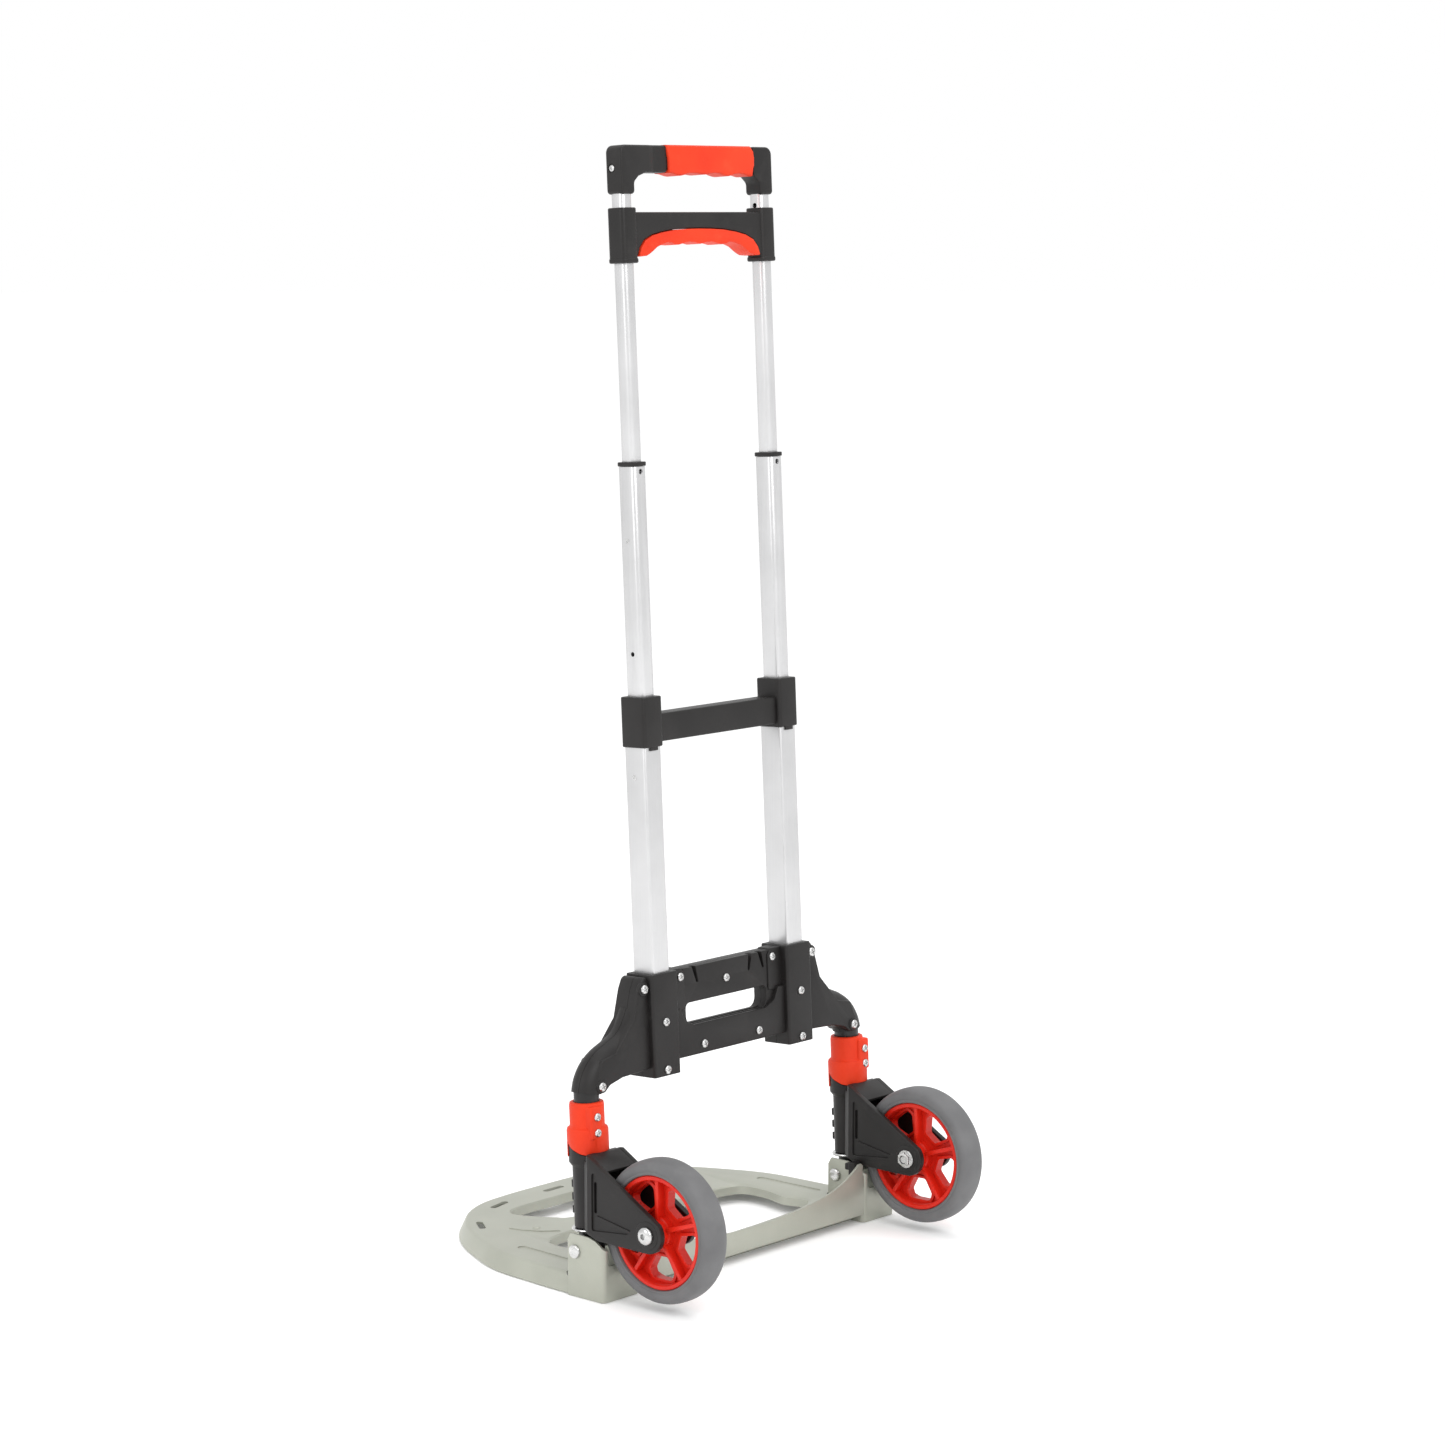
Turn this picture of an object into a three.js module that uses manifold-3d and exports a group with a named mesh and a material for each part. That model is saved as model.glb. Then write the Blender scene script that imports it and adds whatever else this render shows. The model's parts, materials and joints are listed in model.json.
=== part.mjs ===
// Folding hand truck: telescopic two-stage handle, hinged toe plate and two forked wheels.
// Millimetres. +X is the truck's left side, +Y is its rear (wheel) side, +Z is up.
// The origin lies on the floor under the middle of the object's box.
import * as THREE from 'three';
import { mergeVertices } from 'three/addons/utils/BufferGeometryUtils.js';
import Module from 'manifold-3d';

const wasm = await Module();
wasm.setup();

// ---- driving dimensions ----------------------------------------------------------------
const gap = 0.3; // clearance left between pieces that touch
const frameLean = 2.82; // degrees that the frame leans towards the toe plate
const frameFoot = [0, 54.08, 9.5]; // foot of the frame's own axis
const railX = 90.2; // half the spacing of the telescopic rails
const legX = 175.8; // half the spacing of the legs
const legY = -3; // legs stand this far in front of the rails' plane

const outer = { w: 21.8, d: 25, r: 2.6, wall: 1.5, z0: 173, z1: 506 };
const mid = { w: 16.4, d: 20.7, r: 4.2, wall: 1.4, z0: 474, z1: 710.5 };
const inner = { w: 13.4, d: 15.4, r: 4.4, wall: 1.2, z0: 676, z1: 981 };
const plugHeight = 12;
const midTravelHole = 546; // height of the lock hole in the middle rails
const bushHole = 706; // height of the bush pin in the middle rails

const handle = { top: 989, postFoot: 946.6, underside: 965.3, halfX: 98.8, halfY: 9.4 };
const grip = { x0: -74, x1: 39, halfY: 10.4, top: 989.4, foot: 962.9, lobe: 1.3, lobes: 3.6 };
const gripCore = { y: [-6, 6], z: [968, 986] };
const handleScrew = { r: 1.8, at: [-2, 969], reach: 9, rise: 1.6 };
const release = { top: 935, foot: 887, barTop: 931, halfX: 99.2, halfY: 10.2, insertTop: 915 };
const bracket = { top: 508.3, foot: 463.8, barTop: 492, barFoot: 467 };

const base = { foot: 170.3, top: 262.5, colHalfX: 17, colHalfY: 16, colR: 3 };
const upperBar = { z0: 228.5, z1: 260.5, y0: -9, y1: 6.5 };
const lowerBar = { z0: 181.5, z1: 209, y0: -9, y1: 11.2 };
const baseScrew = { head: 4, shank: 1.6, depth: 2.6, rise: 1.6 };

const legR = 11.4;
const legWall = 1.8;
const collar = { foot: 108, step: 138, top: 161, rTop: 15.4, rFoot: 18.6, mid: 122, slope: -0.28 };
const sleeve = { foot: 49.5, neck: 107, top: 135, r: 14.6, rTop: 17.4 };

const wheelR = 63.5;
const wheelX = 175.5;
const wheelY = 136.8; // behind the origin
const wheelZ = 71; // the wheels hang just clear of the floor while the plate stands on it
const tyre = { inner: 50.3, halfW: 13.75 };
const rim = { r: 50, wall: 4, halfW: 11.8, web: 2.2, bossR: 13.5, bossHalfW: 14.5 };
const bearing = { r: 9, halfW: 16.8 };
const axle = { r: 4, headR: 6.6, head: 3.4, end: 27.2 };
const fork = { inner: 17.2, outer: 23.2, tipR: 16.2, front: 62, foot: 59.9, top: 128 };

const pivot = [50.1, 40.5]; // toe plate pivot: behind the origin, above the floor
const pinR = 3;
const plate = { top: 17, t: 2.2, inset: 7.5, flangeFoot: 8 };
const ear = { inner: 152.5, outer: 198, front: 41, rear: 84.8, top: 55.9, rearTop: 47, t: 2.4 };
const wall = { t: 2.3, edge: 151.4, behindLeg: 32, foot: 8 };
const legWell = { halfX: 15, y: [30, 66] };

// ---- solids ----------------------------------------------------------------------------
function solid(geometry) {
  const bare = geometry.clone();
  bare.deleteAttribute('normal');
  bare.deleteAttribute('uv');
  const merged = mergeVertices(bare, 1e-4);
  return new wasm.Manifold(new wasm.Mesh({
    numProp: 3,
    vertProperties: new Float32Array(merged.attributes.position.array),
    triVerts: new Uint32Array(merged.index.array),
  }));
}

function geometryOf(manifold) {
  const mesh = manifold.getMesh();
  const geometry = new THREE.BufferGeometry();
  geometry.setAttribute('position', new THREE.BufferAttribute(mesh.vertProperties, 3));
  geometry.setIndex(new THREE.BufferAttribute(mesh.triVerts, 1));
  geometry.computeVertexNormals();
  return geometry;
}

const join = (...geometries) => geometries.map(solid).reduce((a, b) => a.add(b));

const cut = (body, ...tools) => tools.map(solid).reduce((a, b) => a.subtract(b), body);

// ---- plain shapes ----------------------------------------------------------------------
function block([x0, x1], [y0, y1], [z0, z1]) {
  const box = new THREE.BoxGeometry(x1 - x0, y1 - y0, z1 - z0);
  return box.translate((x0 + x1) / 2, (y0 + y1) / 2, (z0 + z1) / 2);
}

function roundedRect(w, d, r) {
  const shape = new THREE.Shape();
  const [x, y] = [w / 2, d / 2];
  shape.moveTo(x, -y + r);
  shape.absarc(x - r, y - r, r, 0, Math.PI / 2);
  shape.absarc(-x + r, y - r, r, Math.PI / 2, Math.PI);
  shape.absarc(-x + r, -y + r, r, Math.PI, 1.5 * Math.PI);
  shape.absarc(x - r, -y + r, r, 1.5 * Math.PI, 2 * Math.PI);
  return shape;
}

function outline(points) {
  return new THREE.Shape(points.map(([x, y]) => new THREE.Vector2(x, y)));
}

// a shape drawn in X and Y, standing from z0 to z1
function post(shape, z0, z1, [x, y] = [0, 0], curveSegments = 2) {
  const options = { depth: z1 - z0, bevelEnabled: false, curveSegments };
  return new THREE.ExtrudeGeometry(shape, options).translate(x, y, z0);
}

// a shape drawn in X and Z, from y0 back to y1
function plateXZ(shape, y0, y1, curveSegments = 6) {
  const options = { depth: y1 - y0, bevelEnabled: false, curveSegments };
  return new THREE.ExtrudeGeometry(shape, options).rotateX(Math.PI / 2).translate(0, y1, 0);
}

// a shape drawn in Y and Z, from x0 across to x1
function plateYZ(shape, x0, x1, curveSegments = 6) {
  const options = { depth: x1 - x0, bevelEnabled: false, curveSegments };
  const turn = new THREE.Matrix4().set(0, 0, 1, 0, 1, 0, 0, 0, 0, 1, 0, 0, 0, 0, 0, 1);
  return new THREE.ExtrudeGeometry(shape, options).applyMatrix4(turn).translate(x0, 0, 0);
}

function pinX(r, x0, x1, [y, z], sides = 16) {
  const pin = new THREE.CylinderGeometry(r, r, x1 - x0, sides).rotateZ(Math.PI / 2);
  return pin.translate((x0 + x1) / 2, y, z);
}

function pinY(r, y0, y1, [x, z], sides = 12) {
  return new THREE.CylinderGeometry(r, r, y1 - y0, sides).translate(x, (y0 + y1) / 2, z);
}

function pinZ(r, z0, z1, [x, y], sides = 24) {
  const pin = new THREE.CylinderGeometry(r, r, z1 - z0, sides).rotateX(Math.PI / 2);
  return pin.translate(x, y, (z0 + z1) / 2);
}

function sweep(points, r, sides = 12, steps = 16) {
  const path = new THREE.CatmullRomCurve3(points);
  const ring = new THREE.Shape().absarc(0, 0, r, 0, 2 * Math.PI);
  const options = { steps, extrudePath: path, curveSegments: sides / 2, bevelEnabled: false };
  return new THREE.ExtrudeGeometry(ring, options);
}

// ---- materials -------------------------------------------------------------------------
const finish = (color, roughness, metalness) => (
  () => new THREE.MeshStandardMaterial({ color, roughness, metalness })
);
const looks = {
  satinAluminium: finish('#c9ccd0', 0.38, 0.9),
  blackPlastic: finish('#2b2a2a', 0.55, 0),
  orangePlastic: finish('#f0502c', 0.5, 0),
  redPlastic: finish('#e2301f', 0.4, 0),
  greyRubber: finish('#6b6b6d', 0.75, 0),
  zincSteel: finish('#c2c4c6', 0.32, 1),
  blackSteel: finish('#262626', 0.45, 0.5),
  paintedPlate: finish('#b3b3a6', 0.45, 0.4),
  brass: finish('#b8934a', 0.35, 1),
};

const truck = new THREE.Group();
const frame = new THREE.Group(); // leans; x across, y rearwards, z along the rails
frame.position.set(...frameFoot);
frame.rotation.x = THREE.MathUtils.degToRad(frameLean);
truck.add(frame);

function put(name, geometry, look, parent = truck) {
  const shape = geometry.isBufferGeometry ? geometry : geometryOf(geometry);
  const mesh = new THREE.Mesh(shape, looks[look]());
  mesh.name = name;
  parent.add(mesh);
}

const sides = [['left', 1], ['right', -1]];

// ---- telescopic rails ------------------------------------------------------------------
function hollowRail({ w, d, r, wall, z0, z1 }, x) {
  const shape = roundedRect(w, d, r);
  shape.holes.push(roundedRect(w - 2 * wall, d - 2 * wall, r - wall));
  return post(shape, z0, z1, [x, 0]);
}

// a square collar around a rail, from z0 to z1
function ringAround(rail, w, d, r, z0, z1, x) {
  const shape = roundedRect(w, d, r);
  shape.holes.push(roundedRect(rail.w + 2 * gap, rail.d + 2 * gap, rail.r));
  return post(shape, z0, z1, [x, 0]);
}

// the plug in a rail's lower end slides in the rail around it and carries the lock button
function guidePlug({ w, d, r, wall }, rail, x) {
  const [width, depth] = [w - 2 * wall - 2 * gap, d - 2 * wall - 2 * gap];
  return post(roundedRect(width, depth, r - wall), rail.z0 - plugHeight, rail.z0 - gap, [x, 0]);
}

function rails(name, side) {
  const x = side * railX;
  put(`outer_rail_${name}`, hollowRail(outer, x), 'satinAluminium', frame);
  put(`outer_bush_${name}`,
    ringAround(mid, outer.w, outer.d, outer.r, outer.z1 + gap, bracket.top - 1.4, x), 'blackPlastic', frame);

  const midRail = cut(
    solid(hollowRail(mid, x)),
    pinX(2, x, x + mid.w, [0, midTravelHole], 10),
    pinY(2, 0, mid.d, [x, bushHole], 10),
  );
  put(`middle_rail_${name}`, midRail, 'satinAluminium', frame);
  put(`middle_bush_${name}`,
    ringAround(inner, mid.w + 1.6, mid.d + 1.6, 4.6, mid.z1 + gap, mid.z1 + 4, x), 'blackPlastic', frame);
  put(`middle_guide_${name}`, guidePlug(outer, mid, x), 'blackPlastic', frame);

  const screwHole = pinX(handleScrew.r + gap, Math.min(x, x + side * inner.w),
    Math.max(x, x + side * inner.w), handleScrew.at, 12);
  put(`inner_rail_${name}`, cut(solid(hollowRail(inner, x)), screwHole), 'satinAluminium', frame);
  put(`inner_guide_${name}`, guidePlug(mid, inner, x), 'blackPlastic', frame);
}

// ---- handle ----------------------------------------------------------------------------
function handleBody() {
  const side = outline([
    [-handle.halfX, handle.postFoot], [-handle.halfX, handle.top - 5], [-handle.halfX + 5, handle.top],
    [handle.halfX - 5, handle.top], [handle.halfX, handle.top - 5], [handle.halfX, handle.postFoot],
    [82, handle.postFoot], [80.5, 955], [74, 962], [60, handle.underside],
    [-60, handle.underside], [-74, 962], [-80.5, 955], [-82, handle.postFoot],
  ]);
  const sockets = sides.map(([, s]) => (
    post(roundedRect(inner.w + 2 * gap, inner.d + 2 * gap, inner.r), handle.postFoot - 1,
      inner.z1 + gap, [s * railX, 0])
  ));
  const screws = sides.map(([, s]) => (
    pinX(handleScrew.r + gap, s > 0 ? railX : -handle.halfX - 2, s > 0 ? handle.halfX + 2 : -railX,
      handleScrew.at, 12)
  ));
  const seat = block([grip.x0 - 0.5, grip.x1 + 0.5], [-14, 14], [955, 995]);
  const web = block([grip.x0 - 3, grip.x1 + 3], gripCore.y, gripCore.z);
  return cut(solid(plateXZ(side, -handle.halfY, handle.halfY)), ...sockets, ...screws)
    .subtract(solid(seat))
    .add(solid(web));
}

// the grip wraps over the handle's waist and its underside carries the finger lobes
function handleGrip() {
  const { x0, x1, halfY, top } = grip;
  const steps = 28;
  const lobes = [];
  for (let i = 0; i <= steps; i += 1) {
    const along = i / steps;
    const wave = Math.cos(along * grip.lobes * 2 * Math.PI + Math.PI);
    lobes.push([x1 - (x1 - x0) * along, grip.foot + grip.lobe * wave]);
  }
  const shape = outline([[x0, top - 3], [x0 + 3.5, top], [x1 - 3.5, top], [x1, top - 3], ...lobes]);
  const [[y0, y1], [z0, z1]] = [gripCore.y, gripCore.z];
  const core = block([x0 - 4, x1 + 4], [y0 - gap, y1 + gap], [z0 - gap, z1 + gap]);
  return cut(solid(plateXZ(shape, -halfY, halfY)), core);
}

function releaseBar() {
  const barHalf = 8;
  const posts = sides.map(([, s]) => (
    post(roundedRect(19.4, 2 * release.halfY, 3), release.foot, release.top, [s * (railX), 0])
  ));
  const arch = [];
  for (let i = 0; i <= 16; i += 1) {
    const x = 79.5 - (159 * i) / 16;
    arch.push([x, release.insertTop - 20 * (x / 79.5) ** 6]);
  }
  const panel = outline([
    [-82, release.foot + 7], [-82, release.barTop], [82, release.barTop], [82, release.foot + 7], ...arch,
  ]);
  const bores = sides.map(([, s]) => (
    post(roundedRect(inner.w + 2 * gap, inner.d + 2 * gap, inner.r), release.foot - 1,
      release.top + 1, [s * railX, 0])
  ));
  return cut(join(plateXZ(panel, -barHalf, barHalf), ...posts), ...bores);
}

// the finger pad fills the arch under the release bar, with a scalloped lower edge
function releasePad() {
  const top = [];
  const low = [];
  for (let i = 0; i <= 16; i += 1) {
    const x = 79 - (158 * i) / 16;
    top.push([x, release.insertTop - gap - 20 * (x / 79.2) ** 6]);
  }
  for (let i = 0; i <= 28; i += 1) {
    const x = -70 + (140 * i) / 28;
    const ends = 11 * (x / 70) ** 8;
    low.push([x, 903 - ends + 1.2 * Math.cos((x / 60) * 5 * Math.PI)]);
  }
  return plateXZ(outline([...top, ...low]), -9, 9);
}

// ---- rail bracket ----------------------------------------------------------------------
function railBracket() {
  const shells = sides.map(([, s]) => (
    post(roundedRect(outer.w + 3.6, outer.d + 3.6, 4), bracket.foot, bracket.top, [s * railX, 0])
  ));
  const bar = block([-78, 78], [-10, 10], [bracket.barFoot, bracket.barTop]);
  const tabs = sides.map(([, s]) => (
    block([s * railX - 5, s * railX + 5], [12.8, 14.3], [bracket.foot - 3, bracket.foot + 1])
  ));
  const hollow = block([-75, 75], [-14, 7.6], [bracket.barFoot + 2.5, bracket.barTop - 2.5]);
  const tubes = sides.map(([, s]) => (
    post(roundedRect(outer.w + 2 * gap, outer.d + 2 * gap, outer.r), bracket.foot - 5,
      bracket.top - 1.1, [s * railX, 0])
  ));
  const throats = sides.map(([, s]) => (
    post(roundedRect(mid.w + 2 * gap, mid.d + 2 * gap, mid.r), bracket.top - 3,
      bracket.top + 1, [s * railX, 0])
  ));
  return cut(join(bar, ...shells, ...tabs), hollow, ...tubes, ...throats);
}

// ---- base housing ----------------------------------------------------------------------
const shoulder = [
  [104, 262.5], [112, 261.5], [117, 250], [122, 239], [131, 224], [143, 213], [158, 205.5], [173, 198],
  [182, 190], [187, 180], [188.2, 168], [163.4, 168], [160, 172], [152, 176.5], [140, 179], [104, 180],
];
const legPath = [
  [114.5, legY, 224], [121, legY, 211], [134, legY, 200.5], [152, legY, 193], [166, legY, 184.5],
  [174, legY, 172], [legX, legY, 158], [legX, legY, 120], [legX, legY, sleeve.foot - 36],
];

// the bent leg, with each end carried on by the given reach
function legSweep(s, r, reach = 0) {
  const points = legPath.map(([x, y, z]) => new THREE.Vector3(s * x, y, z));
  const carry = (end, next) => end.clone().add(end.clone().sub(next).setLength(reach));
  const before = reach > 0 ? [carry(points[0], points[1])] : [];
  const after = reach > 0 ? [carry(points.at(-1), points.at(-2))] : [];
  return sweep([...before, ...points, ...after], r);
}

const mirrorX = (points, s) => {
  const turned = points.map(([x, ...rest]) => [s * x, ...rest]);
  return s > 0 ? turned : turned.reverse();
};

function housing() {
  const pieces = [
    block([-78, 78], [upperBar.y0, upperBar.y1], [upperBar.z0, upperBar.z1]),
    block([-78, 78], [lowerBar.y0, lowerBar.y1], [lowerBar.z0, lowerBar.z1]),
  ];
  for (const [, s] of sides) {
    pieces.push(post(roundedRect(2 * base.colHalfX, 2 * base.colHalfY, base.colR), base.foot, base.top,
      [s * railX, 0]));
    pieces.push(plateXZ(outline(mirrorX(shoulder, s)), legY - legR - 1.9, 8));
    pieces.push(block([Math.min(s * 56, s * 76), Math.max(s * 56, s * 76)], [-9, 6.5], [200, 262.5]));
  }
  const tools = [];
  for (const [, s] of sides) {
    tools.push(post(roundedRect(outer.w + 2 * gap, outer.d + 2 * gap, outer.r), outer.z0 - gap,
      base.top + 1, [s * railX, 0]));
    tools.push(legSweep(s, legR + 4 * gap, 3));
  }
  return cut(join(...pieces), ...tools);
}

const baseScrews = [
  ['column_upper_left', 91, 218.8, base.colHalfY], ['column_lower_left', 91, 176, base.colHalfY],
  ['column_upper_right', -91, 218.8, base.colHalfY], ['column_lower_right', -91, 176, base.colHalfY],
  ['crossbar', 0, 244, upperBar.y1],
  ['lower_bar_left', 36.9, 190, lowerBar.y1], ['lower_bar_right', -36.9, 190, lowerBar.y1],
];

function screw(x, z, face) {
  const { head, shank, rise, depth } = baseScrew;
  const dome = new THREE.CylinderGeometry(head * 0.72, head, rise, 14);
  dome.translate(x, face + gap + rise / 2, z);
  return join(dome, pinY(shank, face - depth, face + gap + rise / 2, [x, z]));
}

function baseHousing() {
  const whole = housing();
  const holes = baseScrews.map(([, x, z, face]) => (
    pinY(baseScrew.shank + gap, face - baseScrew.depth - gap, face + 1, [x, z])
  ));
  const body = cut(whole, ...holes);
  const rearHalf = block([-300, 300], [gap / 2, 60], [100, 300]);
  const frontHalf = block([-300, 300], [-60, -gap / 2], [100, 300]);
  put('base_cover_rear', body.intersect(solid(rearHalf)), 'blackPlastic', frame);
  put('base_cover_front', body.intersect(solid(frontHalf)), 'blackPlastic', frame);
  for (const [name, x, z, face] of baseScrews) {
    put(`screw_${name}`, screw(x, z, face), 'zincSteel', frame);
  }
}

// ---- legs, collars and wheel forks -----------------------------------------------------
// the collar's lower edge slopes like a cam, and the fork's sleeve stands just under it
const camHeight = (y, drop) => collar.mid - drop + collar.slope * y;

function camTool(x, drop, above) {
  const end = above ? 200 : 60;
  const reach = 40;
  const shape = outline([
    [-reach, camHeight(-reach, drop)], [reach, camHeight(reach, drop)], [reach, end], [-reach, end],
  ]);
  return plateYZ(shape, x - reach, x + reach).translate(0, legY, 0);
}

function camCollar(x) {
  const turn = (r, z0, z1) => pinZ(r, z0, z1, [x, legY], 28);
  const ring = join(
    turn(collar.rTop, collar.step - 1, collar.top),
    turn(collar.rFoot, collar.foot, collar.step),
  );
  return cut(ring, turn(legR + gap, collar.foot - 1, collar.top + 1), camTool(x, 0, false));
}

function forkCheek() {
  const [y, z, r] = [wheelY, wheelZ, fork.tipR];
  const shoulderAngle = 0.85;
  const shape = new THREE.Shape();
  shape.moveTo(fork.front, fork.top);
  shape.lineTo(fork.front + 4, fork.top);
  shape.lineTo(y + r * Math.sin(shoulderAngle), z + r * Math.cos(shoulderAngle));
  shape.absarc(y, z, r, Math.PI / 2 - shoulderAngle, -Math.PI / 2, true);
  shape.lineTo(fork.front + 16, z - r);
  shape.lineTo(fork.front, fork.foot);
  return shape;
}

function wheelFork(s) {
  const x = s * wheelX;
  const post = [s * legX, legY];
  const shell = join(
    pinZ(sleeve.r, sleeve.foot, sleeve.top, post),
    pinZ(sleeve.rTop, sleeve.neck, sleeve.top, post),
  ).subtract(solid(camTool(s * legX, 1, true)));
  const bore = pinZ(legR + gap, sleeve.foot - 20, sleeve.top + 20, post, 24);
  const cheeks = [-fork.outer, fork.inner].map((from) => (
    plateYZ(forkCheek(), x + from, x + from + fork.outer - fork.inner)
  ));
  const back = block([x - fork.outer, x + fork.outer], [fork.front - 5, fork.front + 5],
    [fork.foot, fork.top - 6]);
  const hole = pinX(axle.r + gap, x - fork.outer - 1, x + fork.outer + 1, [wheelY, wheelZ]);
  const leant = geometryOf(shell).applyMatrix4(frame.matrix);
  return cut(join(leant, back, ...cheeks), bore.applyMatrix4(frame.matrix), hole);
}

function legTube(s) {
  const tube = solid(legSweep(s, legR)).subtract(solid(legSweep(s, legR - legWall, 9)));
  const hole = pinX(pinR + gap, s * legX - 20, s * legX + 20, pivot);
  return tube.subtract(solid(hole.applyMatrix4(frame.matrix.clone().invert())));
}

function legsAndForks(name, s) {
  put(`leg_${name}`, legTube(s), 'blackSteel', frame);
  put(`cam_collar_${name}`, camCollar(s * legX), 'orangePlastic', frame);
  put(`wheel_fork_${name}`, wheelFork(s), 'blackPlastic');
  const at = [s * legX, legY];
  const washer = cut(solid(pinZ(17, sleeve.foot - 2.3, sleeve.foot - gap, at)),
    pinZ(legR + gap, sleeve.foot - 5, sleeve.foot + 1, at));
  put(`thrust_washer_${name}`, washer, 'zincSteel', frame);
}

// ---- wheels ----------------------------------------------------------------------------
function revolve(profile, x, segments = 36) {
  const points = profile.map(([r, w]) => new THREE.Vector2(r, w)).reverse();
  points.push(points[0].clone());
  return new THREE.LatheGeometry(points, segments).rotateZ(-Math.PI / 2).translate(x, wheelY, wheelZ);
}

function tyreRing(x) {
  const { inner: r0, halfW: w } = tyre;
  return revolve([
    [r0, -w + 2], [r0, w - 2], [r0 + 2, w], [wheelR - 6, w], [wheelR - 2.4, w - 1.6], [wheelR - 0.6, w - 5],
    [wheelR, 0], [wheelR - 0.6, -w + 5], [wheelR - 2.4, -w + 1.6], [wheelR - 6, -w], [r0 + 2, -w],
  ], x, 36);
}

function wheelHub(x) {
  const spokes = 5;
  const { r, wall: t, halfW, web, bossR, bossHalfW } = rim;
  const ring = revolve([[r - t, -halfW], [r - t, halfW], [r, halfW], [r, -halfW]], x);
  const disc = revolve([[bossR - 1, -web], [bossR - 1, web], [r - t + 1, web], [r - t + 1, -web]], x);
  const boss = revolve([
    [bearing.r + gap, -bossHalfW], [bearing.r + gap, bossHalfW], [bossR, bossHalfW], [bossR, -bossHalfW],
  ], x, 24);
  const fins = [];
  const windows = [];
  for (let i = 0; i < spokes; i += 1) {
    const angle = (i / spokes) * 2 * Math.PI;
    const place = (g, a) => g.rotateX(a).translate(x, wheelY, wheelZ);
    fins.push(place(block([-9, 9], [-1.6, 1.6], [bossR - 1.5, r - t + 0.5]), angle));
    const shape = outline([[-6, 22], [6, 22], [13, 35], [10, 40.5], [-10, 40.5], [-13, 35]]);
    windows.push(place(plateYZ(shape, -5, 5), angle + Math.PI / spokes));
  }
  return cut(join(ring, disc, boss, ...fins), ...windows);
}

function wheelAxle(x, s) {
  const at = [wheelY, wheelZ];
  return join(
    pinX(axle.r, x - axle.end, x + axle.end, at),
    s > 0 ? pinX(axle.headR, x + fork.outer + gap, x + fork.outer + gap + axle.head, at, 20)
      : pinX(axle.headR, x - fork.outer - gap - axle.head, x - fork.outer - gap, at, 20),
  );
}

function wheel(name, s) {
  const x = s * wheelX;
  const at = [wheelY, wheelZ];
  put(`tyre_${name}`, tyreRing(x), 'greyRubber');
  put(`wheel_hub_${name}`, wheelHub(x), 'redPlastic');
  put(`wheel_bearing_${name}`, cut(
    solid(pinX(bearing.r, x - bearing.halfW, x + bearing.halfW, at, 24)),
    pinX(axle.r + gap, x - 20, x + 20, at),
  ), 'brass');
  put(`axle_bolt_${name}`, wheelAxle(x, s), 'zincSteel');
  const from = x - s * (fork.outer + gap);
  const to = from - s * axle.head;
  put(`axle_nut_${name}`, cut(
    solid(pinX(axle.headR, Math.min(from, to), Math.max(from, to), at, 6)),
    pinX(axle.r + gap, x - 30, x + 30, at),
  ), 'zincSteel');
}

// ---- toe plate -------------------------------------------------------------------------
// left halves of the skirt's foot and of the two openings, drawn in X and Y
const plateEdge = [
  [197, 70], [197, 30], [195.5, -4], [192, -50], [185, -77], [174, -102], [160, -130], [140, -158], [113, -182],
  [80, -196], [40, -200], [0, -200.5],
];
const frontOpening = [[0, -152], [50, -152], [76, -150], [87, -141], [85, -127], [71, -103], [58, -91], [0, -84]];
const rearOpening = [[0, -58], [90, -58], [122, -54], [133, -44], [134, -20], [128, 5], [124, 40], [0, 52]];

// both halves of an outline, running anticlockwise
function wholeOutline(half) {
  const whole = [...half, ...half.filter(([x]) => x > 0).reverse().map(([x, y]) => [-x, y])];
  const clockwise = THREE.ShapeUtils.isClockWise(whole.map(([x, y]) => ({ x, y })));
  return clockwise ? whole.reverse() : whole;
}

// an outline drawn in X and Y, widened by grow and standing from z0 to z1
function standing(half, grow, z0, z1) {
  const section = new wasm.CrossSection([wholeOutline(half)]).offset(grow, 'Miter');
  return section.extrude(z1 - z0).translate([0, 0, z0]);
}

// the skirt leans in from its foot on the floor to the plate's top edge
function skirtBlock(grow, z1) {
  const points = wholeOutline(plateEdge);
  const count = points.length;
  const centre = new THREE.Vector2(0, -60);
  const ring = (inset, z) => points.map(([x, y]) => {
    const point = new THREE.Vector2(x, y);
    const pull = point.clone().sub(centre).normalize().multiplyScalar(inset);
    return [point.x - pull.x, y > 60 ? y : point.y - pull.y, z];
  });
  const corners = [...ring(-grow, 0), ...ring(plate.inset - grow, z1)];
  const cap = THREE.ShapeUtils.triangulateShape(points.map(([x, y]) => new THREE.Vector2(x, y)), []);
  const index = cap.flatMap(([a, b, c]) => [c, b, a, a + count, b + count, c + count]);
  for (let i = 0; i < count; i += 1) {
    const next = (i + 1) % count;
    index.push(i, next, next + count, i, next + count, i + count);
  }
  const geometry = new THREE.BufferGeometry();
  geometry.setAttribute('position', new THREE.Float32BufferAttribute(corners.flat(), 3));
  geometry.setIndex(index);
  return solid(geometry);
}

function earBox(s) {
  const { inner: x0, outer: x1, front, rear, top, rearTop, t } = ear;
  const cheek = outline([[front, 0], [rear, 0], [rear, rearTop], [rear - 8, top - 3], [66, top], [44, top],
    [front, top - 3]]);
  const at = (from, to) => [Math.min(s * from, s * to), Math.max(s * from, s * to)];
  return [
    plateYZ(cheek, ...at(x0, x0 + t)),
    plateYZ(cheek, ...at(x1 - t, x1)),
    block(at(x0, x1), [rear - wall.t, rear], [0, wall.behindLeg]),
  ];
}

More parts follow.
